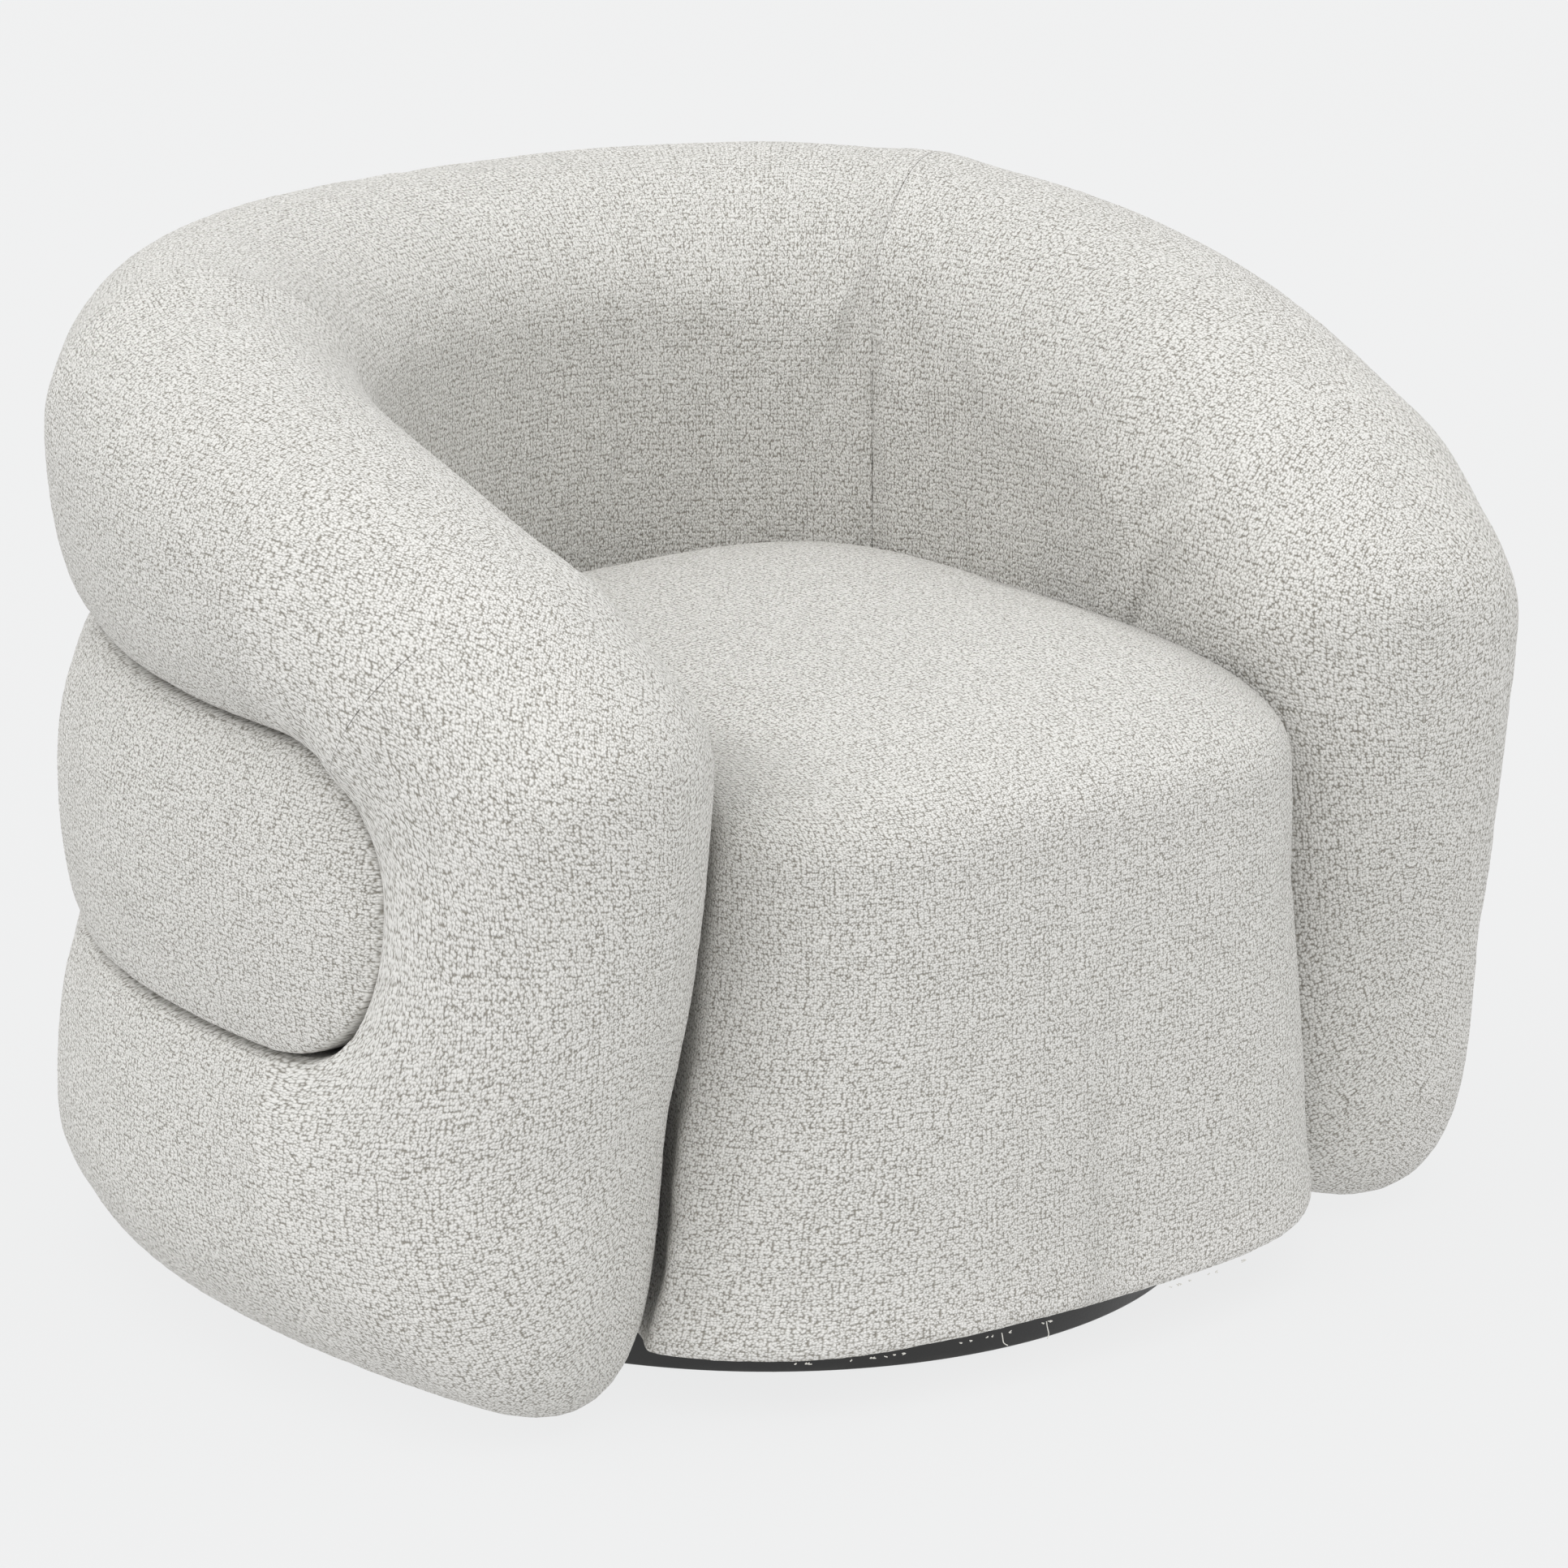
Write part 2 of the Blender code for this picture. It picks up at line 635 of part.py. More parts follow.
def board_point(angle, slack):
    (gs, gz), (os_, oz) = ray("end", angle)
    share = (BOARD_INSET + slack) / math.hypot(gs - os_, gz - oz)
    return os_ + (gs - os_) * share, oz + (gz - oz) * share


def build_seat(fabric, foam):
    """The domed seat pad, its cover that falls to the hem, and the padding of the fall."""
    cup(
        "seat_cover",
        seat_rings(HEM_HEIGHT, FOAM_FLOOR + 0.004),
        seat_rings(HEM_HEIGHT, FOAM_FLOOR + 0.004, COVER),
        fabric,
    )
    stack("seat_foam", seat_rings(FOAM_FLOOR, FOAM_FLOOR, COVER + GAP + FACET_SLACK), foam)

    # the front fall is padded over the front board
    heights = np.linspace(HEM_HEIGHT + 0.004, FOAM_FLOOR - GAP, FALL_LEVELS)
    depths = (COVER + 2 * GAP + FACET_SLACK, COVER + CORNER_PAD)
    face, back = (
        np.array([seat_ring(bow(z), [z] * SEAT_SIDES, depth) for z in heights]) for depth in depths
    )
    each_side = int((face[0, : SEAT_SIDES // 2, 1] < CORNER_CUT - BOX_FRONT).sum())
    taken = np.arange(-each_side, each_side)
    face, back = face[:, taken], back[:, taken]
    before_board = np.abs(back[..., 0]) < BOX_HALF_WIDTH
    board_face = np.maximum(-(BOX_FRONT + BOARD + 2 * GAP), face[..., 1] + THINNEST_PAD)
    back[..., 1] = np.where(before_board, board_face, back[..., 1])
    slab("front_pad", face, back, foam)


def build_frame(plywood, steel, lining):
    """The seat box: its boards, the ribs that carry the wall, and the springs."""
    turn = [2 * math.pi * k / 40 for k in range(40)]
    front, rear = BOX_FRONT - GAP, BOX_REAR + REAR_SHELF
    outline = [
        (
            (BOX_HALF_WIDTH + BOARD) * squared(math.sin(a), BOARD_SQUARENESS),
            -(front if math.cos(a) > 0 else rear) * squared(math.cos(a), BOARD_SQUARENESS),
        )
        for a in reversed(turn)
    ]
    floor_board = outline_board("floor_board", outline, FLOOR_BOARD_Z, FLOOR_BOARD_TOP, plywood)
    drill(floor_board, PIN_HOLE, FLOOR_BOARD_Z - OVERCUT, FLOOR_BOARD_TOP + OVERCUT)
    under = FLOOR_BOARD_Z - GAP
    dust = outline_board("dust_cover", outline, under - DUST_CLOTH, under, lining)
    drill(dust, PLATE_RADIUS + FELT, under - DUST_CLOTH - OVERCUT, under + OVERCUT, segments=40)

    low = FLOOR_BOARD_TOP + GAP
    wide, front, rear = BOX_HALF_WIDTH, BOX_FRONT, BOX_REAR
    board = BOARD
    narrow = wide - CORNER_CUT
    block("front_board", (-narrow, -front - board, FLOOR_BOARD_Z), (narrow, -front, BOX_TOP), plywood)
    for word, side in (("left", -1), ("right", 1)):
        x_low, x_high = sorted((side * (wide - board), side * wide))
        y_low, y_high = CORNER_CUT - front, rear - board - GAP
        block(f"side_rail_{word}", (x_low, y_low, low), (x_high, y_high, BOX_TOP), plywood)
    block("back_rail", (-wide, rear - board, low), (wide, rear, BOX_TOP), plywood)

    # ribs tie the seat box to the wall boards
    for word, s, axis, face in (
        ("left", -RIB_RUN, 0, -(wide + GAP)),
        ("right", RIB_RUN, 0, wide + GAP),
        ("back_left", -REAR_RIB_RUN, 1, rear + GAP),
        ("back_right", REAR_RIB_RUN, 1, rear + GAP),
    ):
        run = np.array([s - board / 2, s + board / 2])[:, None, None]
        z = np.array([RIB_LOW, RIB_HIGH])[None, :, None]
        z = z + 0 * run
        s_grid = run + 0 * z
        near = place(s_grid, z, -CORE - RIB_SLACK)[:, :, 0]
        further = place(s_grid, z, -CORE - BOARD)[:, :, 0]
        heading = further - near
        share = (face - near[..., axis]) / heading[..., axis]
        slab(f"rib_{word}", near, near + heading * share[..., None], plywood)

    # zigzag springs run from the back rail to the front board
    for k in range(SPRINGS):
        x = (k - (SPRINGS - 1) / 2) * SPRING_PITCH
        curve = bpy.data.curves.new(f"seat_spring_{k + 1}", "CURVE")
        curve.dimensions = "3D"
        curve.bevel_depth = SPRING_WIRE
        curve.bevel_resolution = 1
        curve.resolution_u = 1
        curve.use_fill_caps = True
        line = curve.splines.new("POLY")
        line.points.add(2 * SPRING_TURNS - 1)
        ends = np.linspace(-front - board / 2, rear - board / 2, 2 * SPRING_TURNS)
        for j, y in enumerate(ends):
            swing = SPRING_SWING if (j // 2) % 2 else -SPRING_SWING
            line.points[j].co = (x + swing, y, SPRING_Z, 1)
        curve.materials.append(steel)
        thing = bpy.data.objects.new(curve.name, curve)
        bpy.context.collection.objects.link(thing)
    return floor_board


def build_turntable(floor_board, lacquer, felt, zinc, nylon, steel):
    """The round base, the ball race between its two plates, the pivot and the fixings."""
    disc = PLINTH_RADIUS - FELT_INSET
    turned("floor_felt", [(0, 0), (disc, 0), (disc, FELT), (0, FELT)], felt, 48)
    low, high, edge, soft = FELT + GAP, PLINTH_TOP, PLINTH_RADIUS, PLINTH_ROUND
    recess = PIN_FLANGE + CLEARANCE
    hole = PIN_RADIUS + CLEARANCE
    plinth = turned(
        "base_plinth",
        [
            (0, low),
            (edge - soft, low),
            (edge, low + soft),
            (edge, high - soft),
            (edge - soft, high),
            (recess, high),
            (recess, high - PLATE - CLEARANCE),
            (0, high - PLATE - CLEARANCE),
        ],
        lacquer,
        56,
    )

    def race_plate(name, bottom, groove_up):
        """A pressed plate with a hole for the pin and a groove for the balls."""
        top = bottom + PLATE
        half = RACE_HALF_WIDTH
        face = top if groove_up else bottom
        floor = face - RACE_DEPTH if groove_up else face + RACE_DEPTH
        groove = [
            (RACE_RADIUS + half, face),
            (RACE_RADIUS + half / 2, floor),
            (RACE_RADIUS - half / 2, floor),
            (RACE_RADIUS - half, face),
        ]
        under, over = ([], groove) if groove_up else (groove[::-1], [])
        rims = [(PLATE_RADIUS, bottom), (PLATE_RADIUS, top)]
        return turned(name, [(hole, bottom), *under, *rims, *over, (hole, top)], zinc, 32)

    lower = race_plate("lower_swivel_plate", LOWER_PLATE_Z, True)
    upper = race_plate("upper_swivel_plate", UPPER_PLATE_Z, False)

    cage_low = BALL_Z - CAGE / 2
    inner, outer = RACE_RADIUS - CAGE_HALF_WIDTH, RACE_RADIUS + CAGE_HALF_WIDTH
    cage = turned(
        "ball_cage",
        [(inner, cage_low), (outer, cage_low), (outer, cage_low + CAGE), (inner, cage_low + CAGE)],
        nylon,
        36,
    )
    for k in range(BALLS):
        angle = 2 * math.pi * k / BALLS
        centre = round_spot(RACE_RADIUS, angle)
        arcs = np.linspace(0, math.pi, 7)[1:-1]
        rows = [(BALL_RADIUS * math.sin(a), BALL_Z - BALL_RADIUS * math.cos(a)) for a in arcs]
        rows = [(0, BALL_Z - BALL_RADIUS), *rows, (0, BALL_Z + BALL_RADIUS)]
        turned(f"ball_{k + 1}", rows, steel, 10, centre)
        drill(cage, BALL_RADIUS + CLEARANCE, cage_low - OVERCUT, cage_low + CAGE + OVERCUT, centre, 16)

    washer_low = UPPER_PLATE_Z + PLATE + CLEARANCE
    nut_low = washer_low + WASHER + GAP
    nut_high = nut_low + NUT
    turned(
        "pivot_pin",
        [
            (0, PLINTH_TOP - PLATE),
            (PIN_FLANGE, PLINTH_TOP - PLATE),
            (PIN_FLANGE, PLINTH_TOP),
            (PIN_RADIUS, PLINTH_TOP),
            (PIN_RADIUS, nut_high + PIN_END),
            (0, nut_high + PIN_END),
        ],
        steel,
    )
    washer_high = washer_low + WASHER
    disc = [
        (hole, washer_low),
        (WASHER_RADIUS, washer_low),
        (WASHER_RADIUS, washer_high),
        (hole, washer_high),
    ]
    turned("pin_washer", disc, zinc)
    flats = [(hole, nut_low), (NUT_RADIUS, nut_low), (NUT_RADIUS, nut_high), (hole, nut_high)]
    nut = turned("pin_nut", flats, zinc, 6)
    # six sides leave the hole six-sided too, so it is drilled round
    drill(nut, hole, nut_low - OVERCUT, nut_high + OVERCUT)

    tip = LOWER_PLATE_Z - SCREW_LENGTH
    for k in range(4):
        centre = round_spot(SCREW_CIRCLE, math.pi / 2 * k)
        seat = LOWER_PLATE_Z + PLATE + GAP
        screw = [
            (0, tip),
            (SCREW_RADIUS, tip + SCREW_RADIUS),
            (SCREW_RADIUS, seat),
            (2 * SCREW_RADIUS, seat),
            (1.7 * SCREW_RADIUS, seat + 0.9 * SCREW_RADIUS),
            (0, seat + SCREW_RADIUS),
        ]
        turned(f"base_screw_{k + 1}", screw, steel, 8, centre)
        for thing, bottom in ((lower, LOWER_PLATE_Z - OVERCUT), (plinth, tip - OVERCUT)):
            drill(thing, SCREW_RADIUS + GAP, bottom, LOWER_PLATE_Z + PLATE + OVERCUT, centre, 8)

        centre = round_spot(SCREW_CIRCLE, math.pi / 2 * k + math.pi / 4)
        seat = FLOOR_BOARD_TOP + GAP
        bolt = [
            (0, UPPER_PLATE_Z),
            (BOLT_RADIUS, UPPER_PLATE_Z),
            (BOLT_RADIUS, seat),
            (HEAD_RADIUS, seat),
            (0.9 * HEAD_RADIUS, seat + 0.75 * HEAD),
            (0, seat + HEAD),
        ]
        turned(f"frame_bolt_{k + 1}", bolt, steel, 8, centre)
        for thing in (upper, floor_board):
            drill(thing, BOLT_RADIUS + GAP, UPPER_PLATE_Z - OVERCUT, seat + OVERCUT, centre, 8)


def main():
    for thing in list(bpy.data.objects):
        bpy.data.objects.remove(thing, do_unlink=True)
    fabric = finish_of("boucle", (0.66, 0.64, 0.60), 0.95)
    foam = finish_of("foam", (0.80, 0.77, 0.66), 0.95)
    plywood = finish_of("plywood", (0.55, 0.40, 0.25), 0.6)
    steel = finish_of("steel", (0.55, 0.56, 0.58), 0.35, 1.0)
    zinc = finish_of("zinc_plate", (0.62, 0.63, 0.64), 0.4, 1.0)
    nylon = finish_of("nylon", (0.75, 0.75, 0.72), 0.5)
    lining = finish_of("black_lining", (0.02, 0.02, 0.02), 0.9)
    lacquer = finish_of("black_lacquer", (0.01, 0.01, 0.01), 0.35)
    felt = finish_of("black_felt", (0.02, 0.02, 0.02), 0.95)
    build_wall(fabric, foam, plywood)
    build_seat(fabric, foam)
    floor_board = build_frame(plywood, steel, lining)
    build_turntable(floor_board, lacquer, felt, zinc, nylon, steel)


main()
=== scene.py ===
"""Looks of an upholstered swivel tub chair: padded wall of three rolls, domed seat, black turntable.

The wall is laid out on a sheet: s runs along the plan's centre line from the middle of the back,
z is height, and n is the offset from the centre line, outwards. Metres throughout.
"""

import json
import math

import bmesh
import bpy
import numpy as np
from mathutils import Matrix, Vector


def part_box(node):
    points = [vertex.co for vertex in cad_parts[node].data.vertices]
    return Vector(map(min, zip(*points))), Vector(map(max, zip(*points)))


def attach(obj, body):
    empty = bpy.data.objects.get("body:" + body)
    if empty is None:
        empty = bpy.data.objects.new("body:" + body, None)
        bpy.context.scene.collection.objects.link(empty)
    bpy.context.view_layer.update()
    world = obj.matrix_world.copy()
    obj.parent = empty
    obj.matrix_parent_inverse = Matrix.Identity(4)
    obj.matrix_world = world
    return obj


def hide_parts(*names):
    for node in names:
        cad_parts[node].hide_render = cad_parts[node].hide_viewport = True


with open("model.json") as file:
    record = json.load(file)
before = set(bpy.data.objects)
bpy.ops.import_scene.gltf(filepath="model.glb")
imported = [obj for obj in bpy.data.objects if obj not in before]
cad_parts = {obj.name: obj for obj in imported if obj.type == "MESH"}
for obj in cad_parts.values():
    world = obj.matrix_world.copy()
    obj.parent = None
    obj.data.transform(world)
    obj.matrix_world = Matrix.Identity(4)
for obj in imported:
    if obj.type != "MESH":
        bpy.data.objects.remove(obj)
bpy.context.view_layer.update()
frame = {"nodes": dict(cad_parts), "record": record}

# ---- the wall, with the frame's own sizes
BACK_RADIUS = 0.3757
SETBACK = 0.0302
ARM_RADIUS = 2.858 * BACK_RADIUS
EASE_AT = 1.538 * BACK_RADIUS
EASE_LENGTH = 0.05
ARM_TIP = 2.542 * BACK_RADIUS
RIM_HEIGHT = 0.716
RIM_DROP = 0.0436
RIM_DROP_POWER = 3.11
NOSE_HEIGHT = 0.6531 * RIM_HEIGHT
TOP_NOSE_RUN = 0.723 * ARM_TIP
TOP_NOSE_POWER = 1.907
FOOT_HEIGHT = 0.0075
FOOT_NOSE_RUN = 0.167
FOOT_NOSE_POWER = 1.718
FOOT_FORWARD = 0.0707
FORWARD_FROM = 0.4188 * ARM_TIP
LEAN_LEVEL = 0.489 * RIM_HEIGHT
FORWARD_BELOW = 0.298 * RIM_HEIGHT
OUTER_BULGE = 0.1134
INNER_BULGE = 0.116
EDGE_ROUND = 0.1055
INNER_TAIL = 0.035
END_TAIL = 0.165
WALL_LEAN = -0.0061
FRONT_SLIM = 1.0
SLIM_FROM = 0.366 * ARM_TIP
GROOVE_TOP = 0.6458 * RIM_HEIGHT
GROOVE_LOW = 0.3408 * RIM_HEIGHT
GROOVE_TOP_DEPTH = 0.045
GROOVE_LOW_DEPTH = 0.026
MIDDLE_SINK = 0.004
END_FROM = ARM_TIP - 0.280
END_RUN = 0.098
END_POWER = 2.1
SEAM_AT = 0.409 * ARM_TIP
ARM_SEAM_ANGLE = math.radians(56)
CORE = 0.0102
BOARD_INSET = 0.075
ROLL_GAP = 0.0008

# ---- the seat
INNER_RADIUS = BACK_RADIUS - INNER_BULGE
SEAT_HALF_WIDTH = 1.050 * INNER_RADIUS
SEAT_REAR = 1.036 * INNER_RADIUS
SEAT_PAST_TIPS = 0.038
SEAT_SQUARENESS = 3.8
SEAT_HEIGHT = 0.655 * RIM_HEIGHT
SEAT_CROWN = 0.080
CROWN_POWER = 0.58
SEAT_BOW = 0.015
HEM_HEIGHT = 0.041
HEM_FLARE = 0.068
HEM_SQUARENESS = 3.0
FALL_FROM = 0.130
FALL_OVER = 0.060
SEAT_PADDING = 0.171
FRONT_PAD = 0.0515
SIDE_PAD = 0.018
SEAT_TO_WALL = 0.0020

# ---- padding
SIM_STEP = 0.012
SIM_FRAMES = 20
PRESSURE = 4.0
PUFF_START = 0.004
END_MIDDLE = (GROOVE_TOP + GROOVE_LOW) / 2
END_HALF = (GROOVE_TOP - GROOVE_LOW) / 2
BOX_TOP = SEAT_HEIGHT - SEAT_PADDING
FOAM_FLOOR = BOX_TOP + 0.0044


def clamp01(value):
    return np.clip(value, 0.0, 1.0)


def smooth01(value):
    value = clamp01(value)
    return value * value * (3 - 2 * value)


# ------------------------------------------------------------------ camera, light and floor
def set_camera():
    azimuth, elevation, distance = math.radians(-38.31), math.radians(16.46), 5.844
    target = Vector((0.0195, 0.0073, 0.3280))
    level = math.cos(elevation)
    away = Vector((math.sin(azimuth) * level, -math.cos(azimuth) * level, math.sin(elevation)))
    camera = bpy.data.objects.new("camera", bpy.data.cameras.new("camera"))
    camera.data.lens = 189.07
    camera.data.sensor_width = 36.0
    camera.location = target + distance * away
    camera.rotation_euler = (-away).to_track_quat("-Z", "Y").to_euler()
    bpy.context.collection.objects.link(camera)
    bpy.context.scene.camera = camera


def set_light():
    scene = bpy.context.scene
    scene.view_settings.view_transform = "Standard"
    world = bpy.data.worlds.new("studio")
    scene.world = world
    world.use_nodes = True
    background = world.node_tree.nodes["Background"]
    background.inputs["Color"].default_value = (0.985, 0.992, 1.0, 1)
    background.inputs["Strength"].default_value = 0.863
    for name, angle, energy, tilt, turn in (
        ("key", 75, 0.88, 34, -80),
        ("fill", 100, 0.66, 24, 15),
    ):
        lamp = bpy.data.lights.new(name, "SUN")
        lamp.energy = energy
        lamp.angle = math.radians(angle)
        lamp.color = (1.0, 0.995, 0.985)
        thing = bpy.data.objects.new(name, lamp)
        thing.rotation_euler = (math.radians(tilt), 0, math.radians(turn))
        bpy.context.collection.objects.link(thing)


def set_floor():
    bpy.ops.mesh.primitive_circle_add(vertices=96, radius=40, fill_type="NGON", location=(0, 0, 0))
    floor = bpy.context.object
    floor.name = "floor"
    net = Net("pale_floor")
    net.set(roughness=0.9, specular=0.0)
    net.feed("Base Color", net.colour(0.06, 0.06, 0.06) * (1 - 0.1 * net.noise(scale=0.6, detail=2)))
    net.feed("Emission Color", net.colour(0.993, 0.997, 1.0))
    net.shader.inputs["Emission Strength"].default_value = 0.805
    floor.data.materials.append(net.material)


# ------------------------------------------------------------------ materials
class Value:
    """A socket that numbers and other sockets can be added to, taken from and multiplied with."""

    def __init__(self, net, socket):
        self.net = net
        self.socket = socket

    def _math(self, operation, *others):
        if self.is_colour or any(isinstance(other, Value) and other.is_colour for other in others):
            mixed = {"MULTIPLY": "MULTIPLY", "ADD": "ADD", "SUBTRACT": "SUBTRACT"}[operation]
            return self.net.mix(1.0, self, others[0], blend=mixed)
        return self.net.node("ShaderNodeMath", {"operation": operation}, self, *others)

    @property
    def is_colour(self):
        return self.socket.type == "RGBA"

    def __add__(self, other):
        return self._math("ADD", other)

    def __mul__(self, other):
        return self._math("MULTIPLY", other)

    def __sub__(self, other):
        return self._math("SUBTRACT", other)

    def __rsub__(self, other):
        return self.net.node("ShaderNodeMath", {"operation": "SUBTRACT"}, other, self)

    __radd__ = __add__
    __rmul__ = __mul__

    def sin(self):
        return self._math("SINE")

    def cos(self):
        return self._math("COSINE")

    def between(self, low, high):
        """Smoothly 0 below low and 1 above high."""
        settings = {"interpolation_type": "SMOOTHSTEP"}
        return self.net.node("ShaderNodeMapRange", settings, self, low, high)


class Net:
    """A material whose nodes are written as expressions."""

    def __init__(self, name):
        self.material = bpy.data.materials.new(name)
        self.material.use_nodes = True
        self.tree = self.material.node_tree
        self.shader = self.tree.nodes["Principled BSDF"]
        self.place = None

    def plug(self, socket, value):
        if isinstance(value, Value):
            self.tree.links.new(value.socket, socket)
        elif socket.type == "RGBA" and not hasattr(value, "__len__"):
            socket.default_value = (value, value, value, 1)
        else:
            socket.default_value = value

    def node(self, kind, settings, *values, out=0, **named):
        made = self.tree.nodes.new(kind)
        for key, setting in settings.items():
            setattr(made, key, setting)
        for socket, value in zip(made.inputs, values):
            self.plug(socket, value)
        for key, value in named.items():
            self.plug(made.inputs[key.replace("_", " ")], value)
        return Value(self, made.outputs[out])

    def coordinates(self, output="Object"):
        return self.node("ShaderNodeTexCoord", {}, out=output)

    def turned(self, source, rotation=(0, 0, 0), scale=(1, 1, 1)):
        return self.node("ShaderNodeMapping", {}, source, Rotation=rotation, Scale=scale)

    def noise(self, source=None, scale=10.0, detail=2.0, roughness=0.5, out="Fac"):
        if source is None:
            self.place = self.place or self.coordinates()
            source = self.place
        named = {"Vector": source, "Scale": scale, "Detail": detail, "Roughness": roughness}
        return self.node("ShaderNodeTexNoise", {}, out=out, **named)

    def voronoi(self, source, scale, randomness=1.0, feature="F1", out="Distance", dimensions="3D"):
        settings = {"feature": feature, "voronoi_dimensions": dimensions}
        named = {"Vector": source, "Scale": scale, "Randomness": randomness}
        return self.node("ShaderNodeTexVoronoi", settings, out=out, **named)

    def colour(self, red, green, blue):
        made = self.tree.nodes.new("ShaderNodeRGB")
        made.outputs[0].default_value = (red, green, blue, 1)
        return Value(self, made.outputs[0])

    def mix(self, share, first, second, blend="MIX"):
        made = self.tree.nodes.new("ShaderNodeMix")
        made.data_type = "RGBA"
        made.blend_type = blend
        self.plug(made.inputs[0], share)
        self.plug(made.inputs[6], first)
        self.plug(made.inputs[7], second)
        return Value(self, made.outputs[2])

    def split(self, source):
        made = self.tree.nodes.new("ShaderNodeSeparateXYZ")
        self.plug(made.inputs[0], source)
        return [Value(self, socket) for socket in made.outputs]

    def set(self, roughness=0.5, metallic=0.0, specular=0.5, **more):
        settings = {"Roughness": roughness, "Metallic": metallic, "Specular IOR Level": specular}
        for key, value in settings.items():
            self.shader.inputs[key].default_value = value
        for key, value in more.items():
            self.shader.inputs[key.replace("_", " ")].default_value = value

    def feed(self, key, value):
        self.plug(self.shader.inputs[key], value)

    def bump(self, height, distance, strength=1.0):
        made = self.tree.nodes.new("ShaderNodeBump")
        made.inputs["Strength"].default_value = strength
        made.inputs["Distance"].default_value = distance
        self.plug(made.inputs["Height"], height)
        self.tree.links.new(made.outputs["Normal"], self.shader.inputs["Normal"])


def boucle_fabric():
    """Off-white looped yarn woven in fine crossing rows: pale curly nubs, with painted shade darkening the gaps
    between them.
    """
    net = Net("boucle")
    net.set(roughness=0.95, specular=0.10, Sheen_Weight=0.15, Sheen_Roughness=0.6)
    cloth = net.coordinates("UV")
    wander = net.noise(cloth, scale=55, detail=2, out="Color")
    bent = net.mix(0.0035, cloth, wander, blend="ADD")
    rows = net.voronoi(bent, 255, randomness=0.50, dimensions="2D")
    curls = net.voronoi(bent, 560, randomness=0.80, dimensions="2D")
    fuzz = net.noise(cloth, scale=1100, detail=3, roughness=0.7)
    dome = 1 - rows.between(0.16, 0.66)
    curl = 1 - curls.between(0.20, 0.72)
    nub = dome * 0.42 + curl * 0.58
    height = nub + fuzz * 0.3
    loops = net.split(net.voronoi(bent, 560, randomness=0.80, dimensions="2D", out="Color"))
    broad = net.noise(cloth, scale=24, detail=3)
    # painted shade: the base colour goes dark where the nub height is low, in the gaps between loops; the loop
    # colours and broad noise add the yarn's own random tone
    shade = nub * 0.78 + fuzz * 0.34 + (loops[0] - 0.5) * 0.30 + (broad - 0.5) * 0.10
    pale = net.colour(0.840, 0.828, 0.797)
    gap_shade = net.colour(0.270, 0.253, 0.218)
    net.feed("Base Color", net.mix(shade.between(0.06, 0.86), gap_shade, pale))
    net.feed("Roughness", 1 - nub * 0.1)
    net.bump(height, 0.0013, 0.9)
    return net.material


def yarn():
    net = Net("loose_yarn")
    net.set(roughness=0.9, specular=0.15, Sheen_Weight=0.2)
    twist = net.noise(scale=1400, detail=2)
    net.feed("Base Color", net.mix(twist, net.colour(0.60, 0.58, 0.53), net.colour(0.80, 0.79, 0.75)))
    net.bump(twist, 0.0004)
    return net.material


def plywood():
    net = Net("plywood")
    net.set(roughness=0.6)
    place = net.coordinates()
    grain = net.noise(net.turned(place, scale=(14, 1.4, 14)), scale=9, detail=5, roughness=0.6)
    ply = net.split(place)[2] * (2 * math.pi / 0.0028)
    shade = grain * 0.75 + ply.sin() * 0.06 + 0.1
    net.feed("Base Color", net.mix(shade, net.colour(0.32, 0.19, 0.09), net.colour(0.68, 0.50, 0.30)))
    net.feed("Roughness", 0.5 + grain * 0.3)
    net.bump(grain, 0.0003)
    return net.material


def metal(name, light, dark, roughness):
    net = Net(name)
    net.set(roughness=roughness, metallic=1.0)
    cloudy = net.noise(scale=45, detail=4)
    fine = net.noise(scale=700, detail=2)
    net.feed("Base Color", net.mix(cloudy, net.colour(*dark), net.colour(*light)))
    net.feed("Roughness", roughness - 0.1 + 0.25 * fine)
    net.bump(fine, 0.00005)
    return net.material


def nylon():
    net = Net("nylon")
    net.set(roughness=0.5)
    grain = net.noise(scale=300, detail=3)
    net.feed("Base Color", net.mix(grain, net.colour(0.66, 0.65, 0.60), net.colour(0.78, 0.77, 0.74)))
    net.feed("Roughness", 0.4 + 0.2 * grain)
    return net.material


def lacquer():
    """Satin black on fibreboard, a little duller along the lower edge, where a painted sheen also makes it paler."""
    net = Net("black_lacquer")
    net.set(roughness=0.34, specular=0.5, Coat_Roughness=0.2)
    height = net.split(net.coordinates())[2]
    # painted sheen: the bottom few millimetres, in noisy patches, are mixed toward a paler black and given more
    # roughness and less coat
    dull_edge_painted_sheen = (1 - height.between(0.004, 0.009)) * net.noise(scale=60, detail=4).between(0.35, 0.7)
    peel = net.noise(scale=420, detail=2)
    black, painted_sheen = net.colour(0.006, 0.006, 0.006), net.colour(0.05, 0.05, 0.048)
    net.feed("Base Color", net.mix(dull_edge_painted_sheen * 0.6, black, painted_sheen))
    net.feed("Roughness", 0.28 + 0.12 * peel + dull_edge_painted_sheen * 0.2)
    net.feed("Coat Weight", 0.25 - dull_edge_painted_sheen * 0.2)
    net.bump(peel, 0.0001)
    return net.material


def matted(name, low, high, scale, distance):
    """Felt, lining cloth or foam: one dull colour broken up by its fibres or cells."""
    net = Net(name)
    net.set(roughness=0.95, specular=0.1)
    place = net.coordinates()
    cells = net.voronoi(place, scale)
    fibres = net.noise(place, scale=scale * 1.7, detail=4, roughness=0.7)
    net.feed("Base Color", net.mix(fibres * 0.7 + cells * 0.3, net.colour(*low), net.colour(*high)))
    net.feed("Roughness", 0.85 + 0.12 * fibres)
    net.bump(cells * 0.6 + fibres * 0.4, distance)
    return net.material


